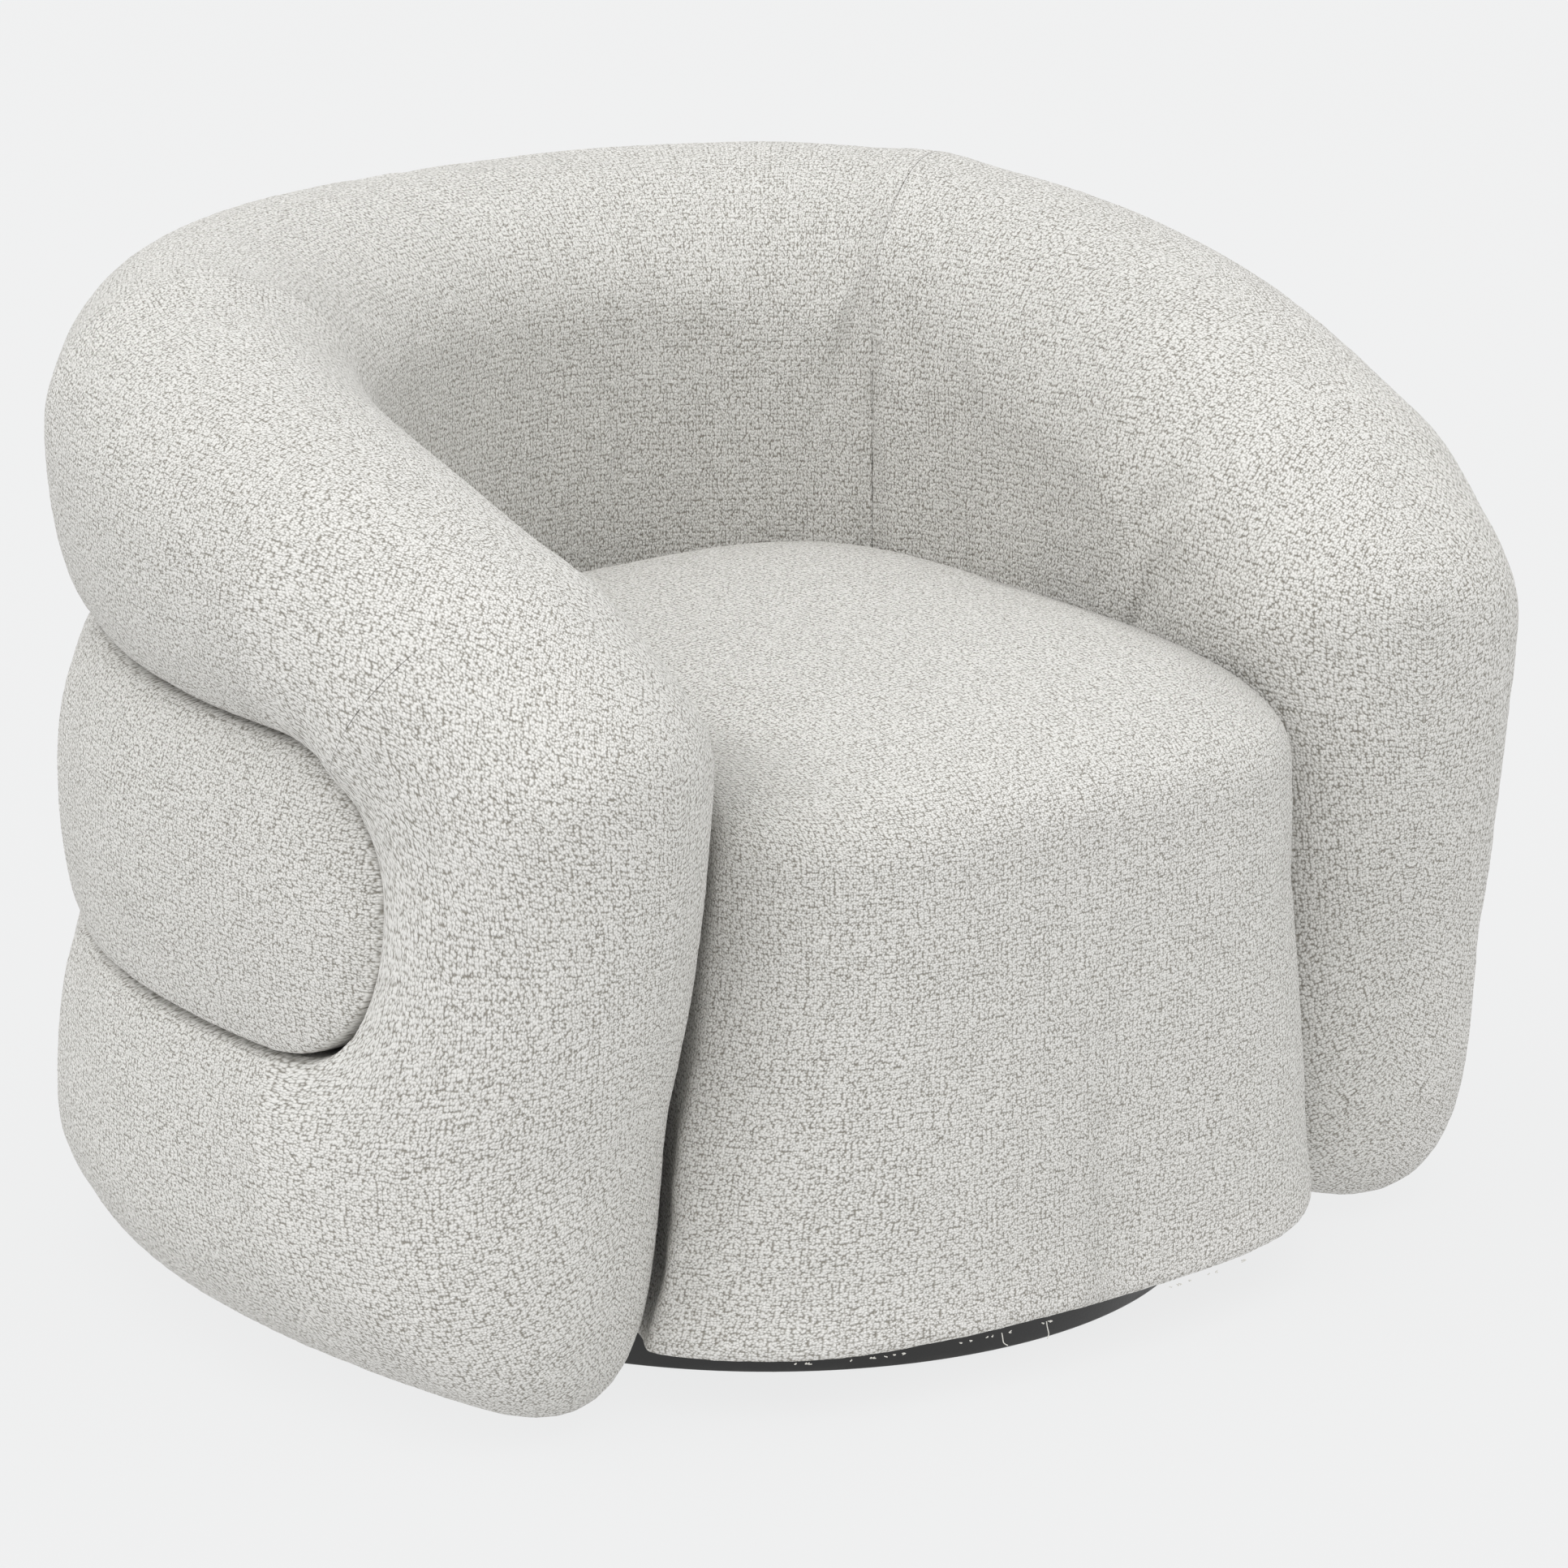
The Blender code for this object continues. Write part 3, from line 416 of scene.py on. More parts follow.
# ------------------------------------------------------------------ the wall's sheet
def plan_table(steps=600, reach=1.5):
    """Arc length, position and heading along the plan's centre line."""
    arc = np.linspace(0.0, reach, steps + 1)
    ease = 1 / (1 + np.exp(-(arc - EASE_AT) / EASE_LENGTH))
    bend = 1 / BACK_RADIUS + (1 / ARM_RADIUS - 1 / BACK_RADIUS) * ease
    step = arc[1]

    def summed(values):
        return np.concatenate([[0.0], np.cumsum((values[1:] + values[:-1]) / 2 * step)])

    heading = summed(bend)
    back = BACK_RADIUS + SETBACK
    return arc, summed(np.cos(heading)), back - summed(np.sin(heading)), heading


ARC, ARC_X, ARC_Y, ARC_HEADING = plan_table()


def plan(s):
    """Point and outward normal of the centre line, side by side for left (s < 0) and right."""
    side = np.where(s < 0, -1.0, 1.0)
    run = np.abs(s)
    heading = np.interp(run, ARC, ARC_HEADING)
    point = np.stack([np.interp(run, ARC, ARC_X) * side, np.interp(run, ARC, ARC_Y)], -1)
    return point, np.stack([np.sin(heading) * side, np.cos(heading)], -1)


SEAT_FRONT = SEAT_PAST_TIPS - float(plan(ARM_TIP)[0][1])


def forward(s, z):
    """How much further round the plan the arms' lower part stands."""
    low = clamp01((FORWARD_BELOW - z) / FORWARD_BELOW) ** 1.5
    return FOOT_FORWARD * low * clamp01((np.abs(s) - FORWARD_FROM) / FORWARD_FROM)


def slim(s):
    """The wall's thickness as a share of what it is at the back."""
    return 1 + (FRONT_SLIM - 1) * clamp01((np.abs(s) - SLIM_FROM) / FORWARD_FROM)


def place(s, z, n):
    """Sheet coordinates to space."""
    s, z, n = np.broadcast_arrays(*(np.asarray(v, float) for v in (s, z, n)))
    point, normal = plan((np.abs(s) + forward(s, z)) * np.where(s < 0, -1.0, 1.0))
    offset = n * slim(s) + WALL_LEAN * (z - LEAN_LEVEL)
    return np.concatenate([point + normal * offset[..., None], z[..., None]], -1)


def rim(s):
    run = np.abs(s)
    nose = clamp01((run - (ARM_TIP - TOP_NOSE_RUN)) / TOP_NOSE_RUN)
    height = RIM_HEIGHT - RIM_DROP * (run / ARM_TIP) ** RIM_DROP_POWER
    return NOSE_HEIGHT + (height - NOSE_HEIGHT) * (1 - nose**TOP_NOSE_POWER) ** (1 / TOP_NOSE_POWER)


def foot(s):
    run = np.abs(s)
    nose = clamp01((run - (ARM_TIP - FOOT_NOSE_RUN)) / FOOT_NOSE_RUN)
    fall = (1 - nose**FOOT_NOSE_POWER) ** (1 / FOOT_NOSE_POWER)
    return NOSE_HEIGHT - (NOSE_HEIGHT - FOOT_HEIGHT) * fall


def nose_table():
    """Bearings from the middle roll's end to the wall's outline, in order, with the outline's points."""
    run = END_FROM + (ARM_TIP - END_FROM) * np.sin(np.linspace(0, math.pi / 2, 900))
    s = np.concatenate([run, run[::-1]])
    z = np.concatenate([rim(run), foot(run[::-1])])
    bearing = np.arctan2(z - END_MIDDLE, s - END_FROM)
    order = np.argsort(bearing)
    return bearing[order], s[order], z[order]


NOSE_BEARING, NOSE_S, NOSE_Z = nose_table()


def nose_hit(angle):
    return np.interp(angle, NOSE_BEARING, NOSE_S), np.interp(angle, NOSE_BEARING, NOSE_Z)


def ray(kind, value):
    """One station round the band: its groove point and its outline point, for the right side."""
    if kind == "top":
        return (value, GROOVE_TOP), (value, float(rim(value)))
    if kind == "low":
        return (value, GROOVE_LOW), (value, float(foot(value)))
    across, up = math.cos(value), math.sin(value)
    reach = (abs(across / END_RUN) ** END_POWER + abs(up / END_HALF) ** END_POWER) ** (-1 / END_POWER)
    s, z = nose_hit(value)
    return (END_FROM + across * reach, END_MIDDLE + up * reach), (float(s), float(z))


def groove_depth(z):
    share = clamp01((z - GROOVE_LOW) / (GROOVE_TOP - GROOVE_LOW))
    return GROOVE_LOW_DEPTH + (GROOVE_TOP_DEPTH - GROOVE_LOW_DEPTH) * share


def inner_end(kind, value):
    """How far down the inside each station's padding goes: just out of sight behind the seat."""
    if kind == "top":
        return float(rim(value)) - LEAN_LEVEL
    if kind == "low":
        return EDGE_ROUND + INNER_TAIL
    return EDGE_ROUND + INNER_TAIL + END_TAIL * max(0.0, math.sin(value))


def evened(chain, count):
    """A line of points spaced evenly along its length, with its lengths."""
    steps = np.linalg.norm(np.diff(chain, axis=0), axis=1)
    run = np.concatenate([[0], np.cumsum(steps)])
    wanted = np.linspace(0, run[-1], count)
    return np.stack([np.interp(wanted, run, column) for column in chain.T], -1), wanted


ARCS = np.linspace(0, math.pi / 2, 40)
OUTER_POINTS, INNER_POINTS, CORE_POINTS = 34, 32, 7


def band_loop(kind, value, side):
    """One closed section of the band: points in space, cloth coordinates, and how free each is."""
    (gs, gz), (os_, oz) = ray(kind, value)
    length = math.hypot(gs - os_, gz - oz)
    inward = np.array([(gs - os_) / length, (gz - oz) / length])
    reach = length - ROLL_GAP - EDGE_ROUND
    depth = groove_depth(gz)
    shoulder = [
        (EDGE_ROUND + reach * math.sin(a), OUTER_BULGE - depth * (1 - math.cos(a)))
        for a in ARCS[::-1]
    ]
    outer_edge = [(EDGE_ROUND * (1 - math.sin(a)), OUTER_BULGE * math.cos(a)) for a in ARCS[1:]]
    inner_edge = [(EDGE_ROUND * (1 - math.sin(a)), -INNER_BULGE * math.cos(a)) for a in ARCS[::-1]]
    tail = [(a, -INNER_BULGE) for a in np.linspace(EDGE_ROUND, inner_end(kind, value), 20)[1:]]
    outer, outer_run = evened(np.array(shoulder + outer_edge), OUTER_POINTS)
    inner, inner_run = evened(np.array(inner_edge + tail), INNER_POINTS)
    skin = np.concatenate([outer, inner[1:]])
    # the cloth folds back over the edge and narrows no faster than the wall's inside does
    centre = math.hypot(os_ - END_FROM, oz - END_MIDDLE) if kind == "end" else abs(oz - END_MIDDLE)
    folded = inner[:, 0] + (inner_run - inner[:, 0]) * clamp01(1 - inner[:, 0] / centre)
    developed = np.concatenate([outer_run[-1] - outer_run, folded[1:]])
    back = [(a, -CORE) for a in np.linspace(skin[-1, 0], BOARD_INSET, CORE_POINTS)]
    front = [(a, CORE) for a in np.linspace(BOARD_INSET, skin[0, 0], CORE_POINTS)]
    loop = np.concatenate([skin, back, front])
    s = os_ + inward[0] * loop[:, 0]
    z = oz + inward[1] * loop[:, 0]
    points = place(side * s, z, loop[:, 1])
    flat = np.array([os_, oz]) + inward * np.concatenate([developed, np.zeros(2 * CORE_POINTS)])[:, None]
    flat[:, 0] *= side
    last = len(skin) - 1
    along = np.arange(len(loop))
    free = np.where(along <= last, np.minimum(along, last - along) * SIM_STEP, 0.0)
    return points, flat, free


def middle_bulge(s, z):
    """The middle roll's height over its own patch of the wall."""
    end = clamp01((np.abs(s) - END_FROM) / END_RUN)
    part = np.abs(z - END_MIDDLE) / END_HALF
    near = clamp01((part**END_POWER + end**END_POWER) ** (1 / END_POWER))
    depth = groove_depth(z) - MIDDLE_SINK
    return OUTER_BULGE - MIDDLE_SINK - depth * (1 - np.sqrt(1 - near**2))


def middle_loop(s, side, columns=28):
    """One closed section of the middle roll."""
    past = clamp01((s - END_FROM) / END_RUN)
    half = END_HALF * float((1 - past**END_POWER) ** (1 / END_POWER)) - ROLL_GAP
    z = END_MIDDLE + max(half, 0.0006) * np.sin(np.linspace(-math.pi / 2, math.pi / 2, 80))
    n = middle_bulge(s, z)
    skin, run = evened(np.stack([z, n], -1), columns)
    back = np.stack([np.linspace(skin[-1, 0], skin[0, 0], CORE_POINTS), np.full(CORE_POINTS, CORE)], -1)
    loop = np.concatenate([skin, back])
    points = place(side * s, loop[:, 0], loop[:, 1])
    v = np.concatenate([run - run[-1] / 2, np.zeros(CORE_POINTS)]) + END_MIDDLE
    flat = np.stack([np.full(len(loop), side * s), v], -1)
    along = np.arange(len(loop))
    free = np.where(along < columns, np.minimum(along, columns - 1 - along) * SIM_STEP * 0.7, 0.0)
    return points, flat, free


# ------------------------------------------------------------------ padded pieces
def new_piece(name, points, faces, flat, material):
    """A mesh piece with its cloth coordinates as a UV map, closed and facing out."""
    mesh = bpy.data.meshes.new(name)
    mesh.from_pydata([tuple(map(float, p)) for p in points], [], faces)
    uv = mesh.uv_layers.new(name="cloth")
    corners = np.empty(len(mesh.loops), dtype=np.int64)
    mesh.loops.foreach_get("vertex_index", corners)
    uv.data.foreach_set("uv", np.asarray(flat, float)[corners].ravel())
    body = bmesh.new()
    body.from_mesh(mesh)
    bmesh.ops.recalc_face_normals(body, faces=body.faces)
    body.to_mesh(mesh)
    body.free()
    mesh.materials.append(material)
    mesh.shade_smooth()
    piece = bpy.data.objects.new(name, mesh)
    bpy.context.collection.objects.link(piece)
    return piece


def crease_rows(piece, rows, columns, sharpness=1.0):
    """Keeps the first and last loops crisp, so that neighbours meet in a thin seam."""
    body = bmesh.new()
    body.from_mesh(piece.data)
    layer = body.edges.layers.float.new("crease_edge")
    ends = (rows - 1) * columns
    for edge in body.edges:
        low, high = sorted(vertex.index for vertex in edge.verts)
        if high < columns or low >= ends:
            edge[layer] = sharpness
            edge.smooth = False
    body.to_mesh(piece.data)
    body.free()


def tube_faces(rows, columns):
    """Quads between neighbouring closed loops, and a cap on each end."""
    faces = []
    for i in range(rows - 1):
        for j in range(columns):
            k = (j + 1) % columns
            faces.append((i * columns + j, i * columns + k, (i + 1) * columns + k, (i + 1) * columns + j))
    faces.append(tuple(range(columns - 1, -1, -1)))
    faces.append(tuple(range((rows - 1) * columns, rows * columns)))
    return faces


def points_of(piece):
    count = len(piece.data.vertices)
    points = np.empty(count * 3)
    piece.data.vertices.foreach_get("co", points)
    return points.reshape(-1, 3)


def set_points(piece, points):
    piece.data.vertices.foreach_set("co", np.ascontiguousarray(points, float).ravel())
    piece.data.update()


def normals_of(piece):
    count = len(piece.data.vertices)
    normals = np.empty(count * 3)
    piece.data.vertices.foreach_get("normal", normals)
    return normals.reshape(-1, 3)


def apply_all(piece):
    bpy.ops.object.select_all(action="DESELECT")
    piece.select_set(True)
    bpy.context.view_layer.objects.active = piece
    for modifier in list(piece.modifiers):
        bpy.ops.object.modifier_apply(modifier=modifier.name)


def puff(piece, free, most, start=PUFF_START):
    """Blows the free skin out against its pinned seams, no point moving further than most."""
    soft = smooth01(np.asarray(free) / 0.05)
    shape = points_of(piece)
    set_points(piece, shape - normals_of(piece) * (start * soft)[:, None])
    begun = points_of(piece)
    held = piece.vertex_groups.new(name="held")
    for index in np.where(soft <= 0)[0]:
        held.add([int(index)], 1.0, "REPLACE")
    cloth = piece.modifiers.new("padding", "CLOTH")
    settings = cloth.settings
    settings.quality = 4
    settings.mass = 0.3
    settings.tension_stiffness = 12
    settings.compression_stiffness = 12
    settings.shear_stiffness = 6
    settings.bending_stiffness = 1.5
    settings.vertex_group_mass = "held"
    settings.use_pressure = True
    settings.uniform_pressure_force = PRESSURE
    settings.effector_weights.gravity = 0
    cloth.collision_settings.use_collision = False
    cloth.collision_settings.use_self_collision = False
    cloth.point_cache.frame_start = 1
    cloth.point_cache.frame_end = SIM_FRAMES
    for step in range(1, SIM_FRAMES + 1):
        bpy.context.scene.frame_set(step)
        bpy.context.view_layer.update()
    apply_all(piece)
    bpy.context.scene.frame_set(1)
    moved = points_of(piece) - begun
    size = np.linalg.norm(moved, axis=1, keepdims=True)
    set_points(piece, begun + moved * np.minimum(1, most / np.maximum(size, 1e-9)))
    piece.vertex_groups.clear()


def finish_padding(piece, levels=2, lumps=0.0005):
    """Finer mesh, and the uneven hand of looped yarn over foam."""
    finer = piece.modifiers.new("finer", "SUBSURF")
    finer.levels = levels
    finer.render_levels = levels
    for name, size, strength in (("hollows", 0.11, 0.0022), ("lumps", 0.010, lumps * 2)):
        texture = bpy.data.textures.get(name) or bpy.data.textures.new(name, "CLOUDS")
        texture.noise_scale = size
        texture.noise_depth = 2
        uneven = piece.modifiers.new(name, "DISPLACE")
        uneven.texture = texture
        uneven.texture_coords = "LOCAL"
        uneven.mid_level = 0.5
        uneven.strength = strength
    apply_all(piece)


def pad(name, loops, material, body, nodes, most):
    """A padded piece from closed loops, whose first and last rows are seams."""
    points = np.array([loop[0] for loop in loops])
    flat = np.array([loop[1] for loop in loops])
    free = np.array([loop[2] for loop in loops])
    rows, columns = points.shape[:2]
    gaps = np.linalg.norm(np.diff(points, axis=0), axis=2).mean(1)
    run = np.concatenate([[0], np.cumsum(gaps)])
    ends = np.minimum(run, run[-1] - run)
    free = np.minimum(free, ends[:, None])
    size = rows * columns
    piece = new_piece(
        name, points.reshape(size, 3), tube_faces(rows, columns), flat.reshape(size, 2), material
    )
    crease_rows(piece, rows, columns)
    puff(piece, free.reshape(size), most)
    finish_padding(piece)
    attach(piece, body)
    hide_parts(*nodes)
    return piece


def spread(low, high, step=SIM_STEP):
    return np.linspace(low, high, max(3, int(round(abs(high - low) / step)) + 1))


def build_wall(fabric):
    seam = SEAM_AT - 0.00015
    past = SEAM_AT + 0.00015
    straight = math.pi / 2
    for kind, name in (("top", "rim_back"), ("low", "lower_roll_back")):
        loops = []
        for s in spread(-seam, seam, 0.0105):
            loops.append(band_loop(kind, abs(s), -1 if s < 0 else 1))
        pad(f"{name}_padding", loops, fabric, "chair", (f"{name}_cover", f"{name}_foam"), 0.008)
    for side, word in ((-1, "left"), (1, "right")):
        stations = [("top", s) for s in spread(past, END_FROM)]
        bearings = np.linspace(straight, ARM_SEAM_ANGLE, 13)[1:]
        stations += [("end", a) for a in bearings]
        loops = [band_loop(kind, value, side) for kind, value in stations]
        nodes = (f"rim_{word}_cover", f"rim_{word}_foam")
        pad(f"rim_{word}_padding", loops, fabric, "chair", nodes, 0.008)
        bearings = np.linspace(ARM_SEAM_ANGLE - 0.0006, -straight, 52)
        stations = [("end", a) for a in bearings[:-1]]
        stations += [("low", s) for s in spread(END_FROM, past)]
        loops = [band_loop(kind, value, side) for kind, value in stations]
        nodes = (f"arm_front_{word}_cover", f"arm_front_{word}_foam")
        pad(f"arm_front_{word}_padding", loops, fabric, "chair", nodes, 0.008)
        tapered = END_FROM + END_RUN * np.sin(np.linspace(0, straight, 13)[1:])
        run = np.concatenate([spread(past, END_FROM), tapered])
        loops = [middle_loop(s, side) for s in run]
        nodes = (f"middle_roll_{word}_cover", f"middle_roll_{word}_foam")
        pad(f"middle_roll_{word}_padding", loops, fabric, "chair", nodes, 0.006)
    loops = [middle_loop(abs(s), -1 if s < 0 else 1) for s in spread(-seam, seam, 0.0105)]
    nodes = ("middle_roll_back_cover", "middle_roll_back_foam")
    pad("middle_roll_back_padding", loops, fabric, "chair", nodes, 0.006)


# ------------------------------------------------------------------ the seat
def inner_face(run, z):
    """The offset of the wall's inner face at places along the plan, very far out past its edge."""
    s = run - forward(run, z)
    reach = np.minimum(z - foot(s), rim(s) - z)
    across, up = s - END_FROM, z - END_MIDDLE
    edge_s, edge_z = nose_hit(np.arctan2(up, across))
    past = np.hypot(edge_s - END_FROM, edge_z - END_MIDDLE) - np.hypot(across, up)
    reach = np.where(s > END_FROM, past, reach)
    nose = 1 - clamp01(reach / EDGE_ROUND)
    face = -INNER_BULGE * slim(s) * np.sqrt(1 - nose**2) + WALL_LEAN * (z - LEAN_LEVEL)
    return np.where(reach < 0, 1.0, face)


PLAN_RUN = np.linspace(-ARM_TIP, ARM_TIP, 601)
PLAN_LINE, PLAN_NORMAL = plan(PLAN_RUN)


def inside_wall(xy, z, shrink):
    """Plan points pulled in until they stand clear of the wall's inner face."""
    away = xy[:, None] - PLAN_LINE[None]
    nearest = (away**2).sum(2).argmin(1)
    normal = PLAN_NORMAL[nearest]
    offset = ((xy - PLAN_LINE[nearest]) * normal).sum(1)
    limit = inner_face(np.abs(PLAN_RUN[nearest]), z) - SEAT_TO_WALL - shrink
    return xy - normal * np.maximum(offset - limit, 0)[:, None]


def squared(t, power):
    return np.sign(t) * np.abs(t) ** (2 / power)


def seat_spots(angle, share, z, shrink):
    """Points of the seat's skin: an angle round the plan from the front, a share of the plan, a height."""
    angle, share, z = np.broadcast_arrays(*(np.asarray(v, float) for v in (angle, share, z)))
    flare = clamp01((BOX_TOP - z) / (BOX_TOP - HEM_HEIGHT))
    power = SEAT_SQUARENESS + (HEM_SQUARENESS - SEAT_SQUARENESS) * flare
    ux, uy = squared(np.sin(angle), power), -squared(np.cos(angle), power)
    half = SEAT_HALF_WIDTH + HEM_FLARE * flare - shrink
    depth = np.where(uy < 0, SEAT_FRONT, SEAT_REAR) - shrink
    xy = np.stack([half * ux * share, depth * uy * share], -1)
    shape = xy.shape
    xy = inside_wall(xy.reshape(-1, 2), z.ravel(), shrink).reshape(shape)
    return np.concatenate([xy, z[..., None]], -1)


def bow(z):
    rise = (z - HEM_HEIGHT) / (SEAT_HEIGHT - SEAT_CROWN - HEM_HEIGHT)
    return 1 - SEAT_BOW * ((rise - 0.75) / 0.75) ** 2


def even_angles(count):
    """Angles round the plan whose points are evenly spaced, from the front's middle."""
    dense = np.linspace(0, 2 * math.pi, 4001)
    x = SEAT_HALF_WIDTH * squared(np.sin(dense), SEAT_SQUARENESS)
    y = -squared(np.cos(dense), SEAT_SQUARENESS)
    y = y * np.where(y < 0, SEAT_FRONT, SEAT_REAR)
    run = np.concatenate([[0], np.cumsum(np.hypot(np.diff(x), np.diff(y)))])
    return np.interp(np.arange(count) / count * run[-1], run, dense), run[-1]


def square_rings(size):
    """Grid places of a square of rings: for each grid point its ring and its place round it."""
    spots = []
    for j in range(-size, size + 1):
        for i in range(-size, size + 1):
            ring = max(abs(i), abs(j))
            if ring == 0:
                spots.append((0, 0.0))
            elif j == -ring and i >= 0:
                spots.append((ring, i))
            elif i == ring:
                spots.append((ring, 2 * ring + j))
            elif j == ring:
                spots.append((ring, 4 * ring - i))
            elif i == -ring:
                spots.append((ring, 6 * ring - j))
            else:
                spots.append((ring, 8 * ring + i))
    return np.array([(ring, place / (8 * ring) if ring else 0.0) for ring, place in spots])


def build_seat(fabric):
    """The domed seat and its fall to the hem, one thick padded piece."""
    size, levels = 24, 28
    around = 8 * size
    angles, girth = even_angles(around)
    shoulder = SEAT_HEIGHT - SEAT_CROWN
    crown = np.linspace(0, math.pi / 2, 200)
    profile_share = np.cos(crown) ** CROWN_POWER
    profile_z = shoulder + SEAT_CROWN * np.sin(crown)
    profile_run = np.concatenate(
        [[0], np.cumsum(np.hypot(np.diff(profile_share) * SEAT_FRONT, np.diff(profile_z)))]
    )
    rings = square_rings(size)
    part = 1 - rings[:, 0] / size
    share = np.interp(part * profile_run[-1], profile_run, profile_share)
    height = np.interp(part * profile_run[-1], profile_run, profile_z)
    turn = np.interp(rings[:, 1] * around, np.arange(around + 1), np.append(angles, 2 * math.pi))
    top = seat_spots(turn, share * bow(shoulder), height, 0.0)
    floor = seat_spots(turn, share, FOAM_FLOOR, SIDE_PAD)

    front = 1 - smooth01((-np.cos(angles) * SEAT_FRONT + FALL_FROM) / FALL_OVER)
    front = front * (np.cos(angles) > 0)
    low = HEM_HEIGHT + (FOAM_FLOOR + 0.012 - HEM_HEIGHT) * (1 - front)
    fall = np.linspace(0, 1, levels)[:, None]
    fall_z = low + (shoulder - low) * fall
    skin = seat_spots(angles[None], bow(fall_z), fall_z, 0.0)
    lining_z = low + (FOAM_FLOOR - low) * fall
    lining_z = np.where(low > FOAM_FLOOR, FOAM_FLOOR + (low - FOAM_FLOOR) * (1 - fall), lining_z)
    lining = seat_spots(angles[None], bow(lining_z), lining_z, SIDE_PAD)
    board = -(SEAT_FRONT - FRONT_PAD)
    near_board = (np.abs(lining[..., 0]) < 0.180) & (lining[..., 1] < board)
    lining[..., 1] = np.where(near_board, board, lining[..., 1])
    floor[:, 1] = np.maximum(floor[:, 1], board)

    # one list of points: the top's grid, the fall below its edge, the lining, the floor's grid
    edge_at = {}
    for index, (ring, spot) in enumerate(rings):
        if ring == size:
            edge_at[int(round(spot * around)) % around] = index
    width = 2 * size + 1
    grid = width * width
    skin_first = grid
    lining_first = grid + (levels - 1) * around
    floor_first = lining_first + (levels - 1) * around
    points = np.concatenate(
        [top, skin[:-1].reshape(-1, 3), lining[:-1].reshape(-1, 3), floor]
    )

    def at_skin(level, k):
        return edge_at[k % around] if level == levels - 1 else skin_first + level * around + k % around

    def at_lining(level, k):
        if level == levels - 1:
            return floor_first + edge_at[k % around]
        return lining_first + level * around + k % around

    faces = []
    for j in range(width - 1):
        for i in range(width - 1):
            a = j * width + i
            faces.append((a, a + 1, a + width + 1, a + width))
            a += floor_first
            faces.append((a, a + width, a + width + 1, a + 1))
    for level in range(levels - 1):
        for k in range(around):
            above, below = level + 1, level
            faces.append((at_skin(below, k), at_skin(below, k + 1), at_skin(above, k + 1), at_skin(above, k)))
            faces.append((at_lining(below, k), at_lining(above, k), at_lining(above, k + 1), at_lining(below, k + 1)))
    for k in range(around):
        faces.append((at_skin(0, k), at_lining(0, k), at_lining(0, k + 1), at_skin(0, k + 1)))

    # the cloth runs straight over the top and down the fall
    arc = np.arange(around) / around * girth
    arc = np.where(arc > girth / 2, arc - girth, arc)
    turn_arc = np.where(rings[:, 1] > 0.5, rings[:, 1] - 1, rings[:, 1]) * girth
    blend = smooth01((share - 0.72) / 0.28) * (np.cos(turn) > 0)
    top_u = top[:, 0] * (1 - blend) + turn_arc * share * blend
    top_run = profile_run[-1] * (1 - part)
    top_v = -top[:, 1] * (1 - blend) + blend * top_run
    top_flat = np.stack([top_u, -top_v], -1)
    skin_u = np.broadcast_to(arc, skin.shape[:2])
    skin_v = -(profile_run[-1] + (shoulder - skin[..., 2]))
    skin_flat = np.stack([skin_u, skin_v], -1)
    flat = np.concatenate(
        [top_flat, skin_flat[:-1].reshape(-1, 2), skin_flat[:-1].reshape(-1, 2), top_flat]
    )
    fall_free = (fall_z - low)[:-1]
    free = np.concatenate(
        [np.full(grid, 0.1), fall_free.ravel(), np.zeros((levels - 1) * around), np.zeros(grid)]
    )
    piece = new_piece("seat_padding", points, faces, flat, fabric)
    puff(piece, free, 0.012)
    finish_padding(piece)
    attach(piece, "chair")
    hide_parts("seat_cover", "seat_foam", "front_pad")


def build_yarn_ends(material):
    """Frayed ends along the front hem, two of them long and loose."""
    chance = np.random.default_rng(7)
    curve = bpy.data.curves.new("hem_fray", "CURVE")
    curve.dimensions = "3D"
    curve.bevel_depth = 0.00035
    curve.bevel_resolution = 1
    curve.resolution_u = 3
    curve.use_fill_caps = True
    angles = chance.uniform(-0.6, 0.3, 26)
    ends = [(angle, chance.uniform(0.0008, 0.0020)) for angle in angles] + [(-0.12, 0.013), (-0.042, 0.016)]
    for angle, length in ends:
        root = seat_spots(angle, bow(HEM_HEIGHT), HEM_HEIGHT + 0.001, 0.002)
        lean = chance.uniform(-0.6, 0.6)
        line = curve.splines.new("NURBS")
        line.points.add(4)
        line.use_endpoint_u = True
        line.order_u = 3
        for step, point in enumerate(line.points):
            t = step / 4
            x = root[0] + lean * length * t + 0.0012 * math.sin(5 * t + angle * 40)
            y = root[1] - length * 0.5 * t
            point.co = (x, y, max(root[2] - length * t * (1 - 0.45 * t), 0.004), 1)
    fray = bpy.data.objects.new("hem_fray", curve)
    bpy.context.collection.objects.link(fray)
    curve.materials.append(material)
    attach(fray, "chair")


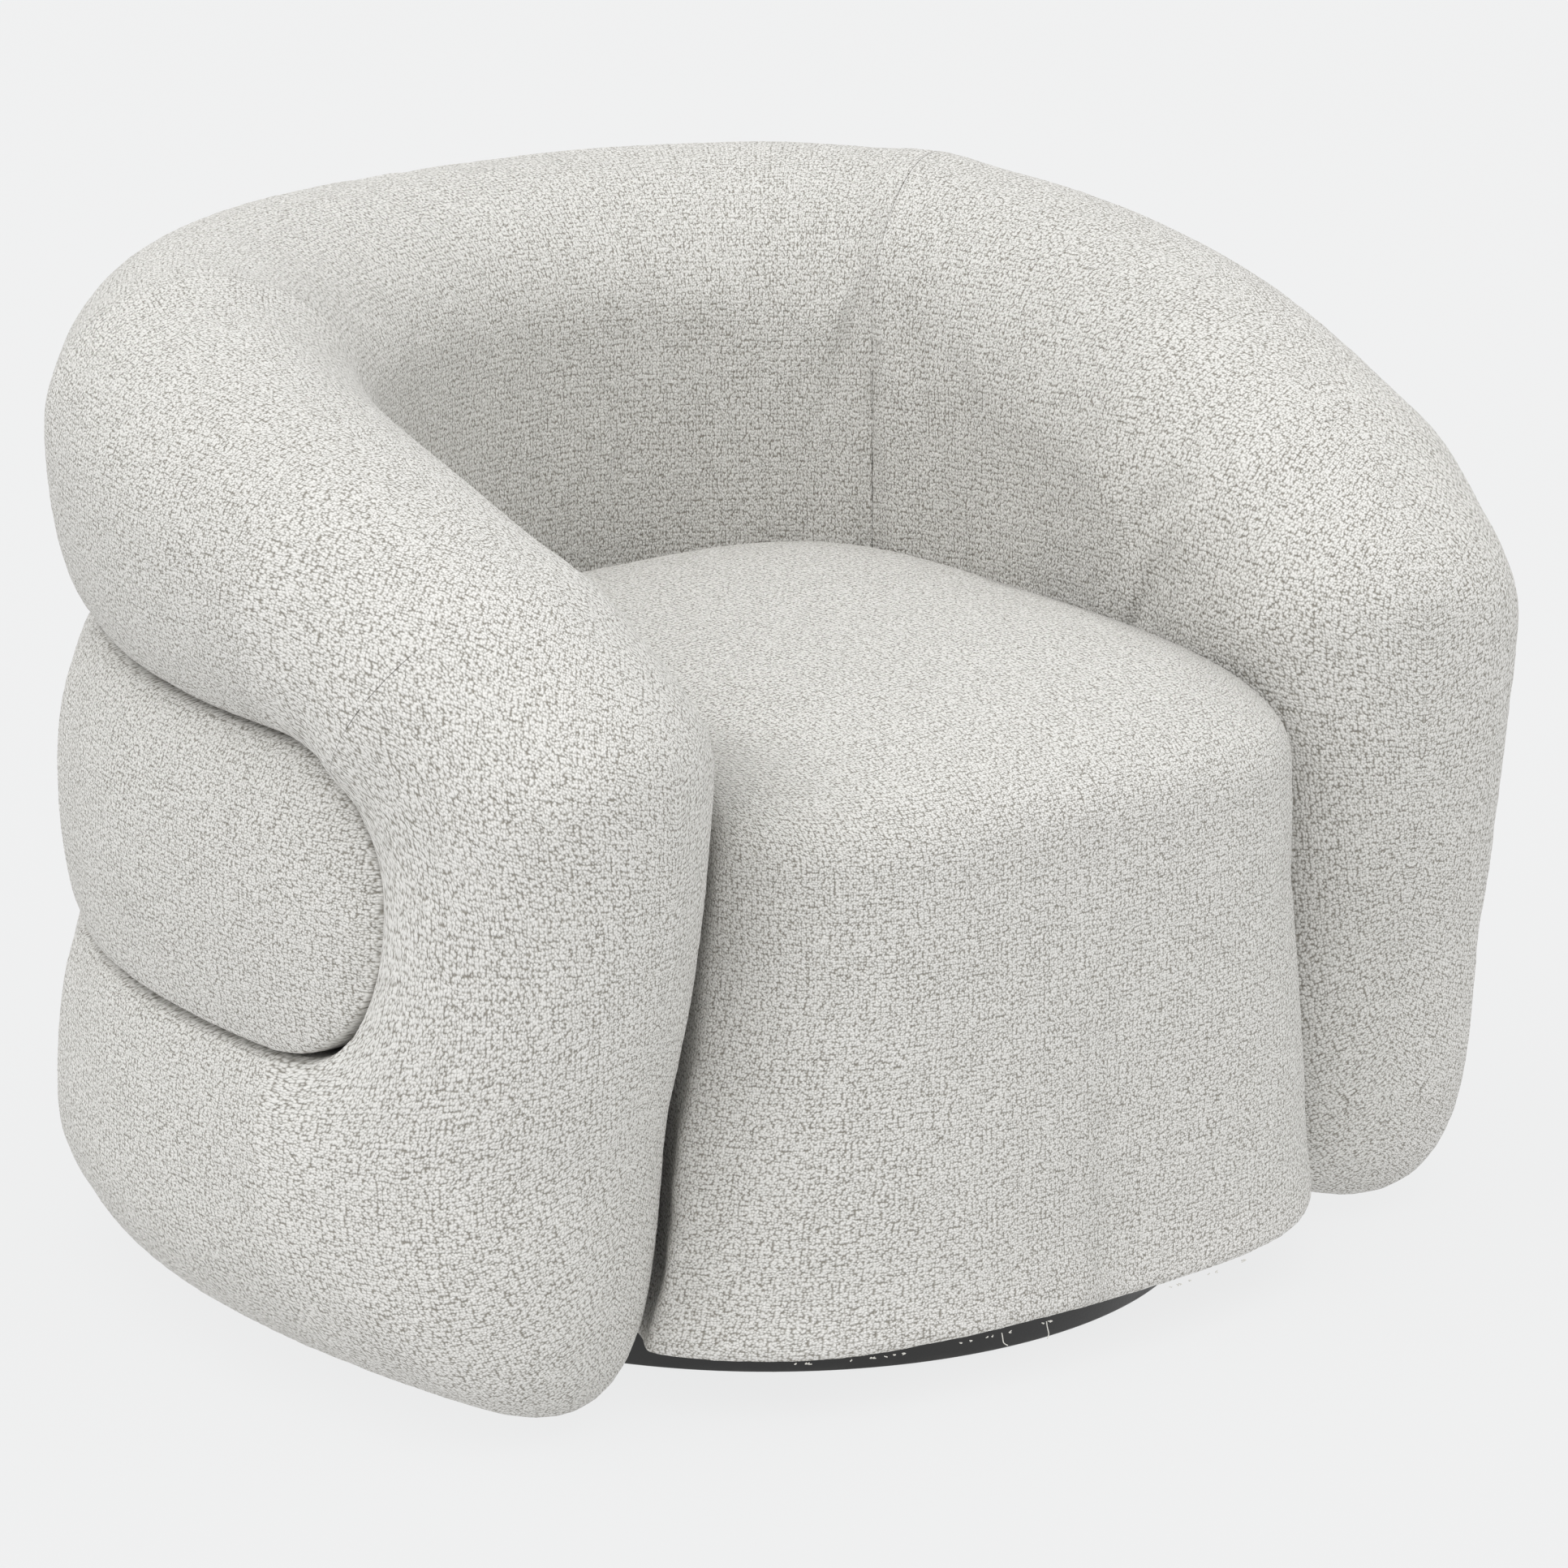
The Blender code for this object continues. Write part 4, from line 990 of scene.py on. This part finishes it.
# ------------------------------------------------------------------ the turntable's plinth
def build_plinth(material):
    """A round plinth turned from a disc: its rims eased, its top recessed for the pivot's flange."""
    low, high = (Vector(corner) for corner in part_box("base_plinth"))
    radius = (high.x - low.x) / 2
    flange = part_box("pivot_pin")
    bpy.ops.object.select_all(action="DESELECT")
    bpy.ops.mesh.primitive_cylinder_add(
        vertices=192,
        radius=radius,
        depth=high.z - low.z,
        location=(0, 0, (low.z + high.z) / 2),
    )
    plinth = bpy.context.object
    plinth.name = "turntable_plinth"
    bpy.ops.object.mode_set(mode="EDIT")
    bpy.ops.mesh.select_all(action="DESELECT")
    bpy.ops.mesh.select_mode(type="FACE")
    bpy.ops.object.mode_set(mode="OBJECT")
    for face in plinth.data.polygons:
        face.select = face.normal.z > 0.9
    bpy.ops.object.mode_set(mode="EDIT")
    bpy.ops.mesh.inset(thickness=radius - (flange[1][0] + 0.0003))
    bpy.ops.mesh.extrude_region_move(TRANSFORM_OT_translate={"value": (0, 0, -0.0033)})
    bpy.ops.object.mode_set(mode="OBJECT")
    eased = plinth.modifiers.new("eased", "BEVEL")
    eased.width = 0.0022
    eased.segments = 4
    eased.limit_method = "ANGLE"
    bpy.ops.object.modifier_apply(modifier=eased.name)
    bpy.ops.object.transform_apply(location=True, rotation=True, scale=True)
    bpy.ops.object.shade_smooth_by_angle(angle=math.radians(35))
    plinth.data.materials.clear()
    plinth.data.materials.append(material)
    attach(plinth, "base")
    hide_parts("base_plinth")


def finish_frame():
    """Each part of the frame gets its own finish."""
    zinc = metal("zinc_plate", (0.68, 0.69, 0.70), (0.52, 0.53, 0.55), 0.38)
    steel = metal("steel", (0.60, 0.61, 0.63), (0.42, 0.43, 0.45), 0.32)
    finishes = {
        "plywood": plywood(),
        "steel": steel,
        "zinc_plate": zinc,
        "nylon": nylon(),
        "black_lining": matted("black_lining", (0.012, 0.012, 0.012), (0.03, 0.03, 0.03), 900, 0.0002),
        "black_felt": matted("black_felt", (0.010, 0.010, 0.010), (0.035, 0.035, 0.034), 1200, 0.0004),
        "black_lacquer": lacquer(),
        "foam": matted("foam", (0.62, 0.56, 0.42), (0.82, 0.78, 0.66), 800, 0.0004),
    }
    slots = {part["node"]: part["material_slot"] for part in frame["record"]["subparts"]}
    for node, thing in frame["nodes"].items():
        finish = finishes.get(slots.get(node))
        if finish and thing.type == "MESH":
            for slot in thing.material_slots:
                slot.material = finish
    return finishes


set_camera()
set_light()
set_floor()
finishes = finish_frame()
fabric = boucle_fabric()
build_wall(fabric)
build_seat(fabric)
build_yarn_ends(yarn())
build_plinth(finishes["black_lacquer"])
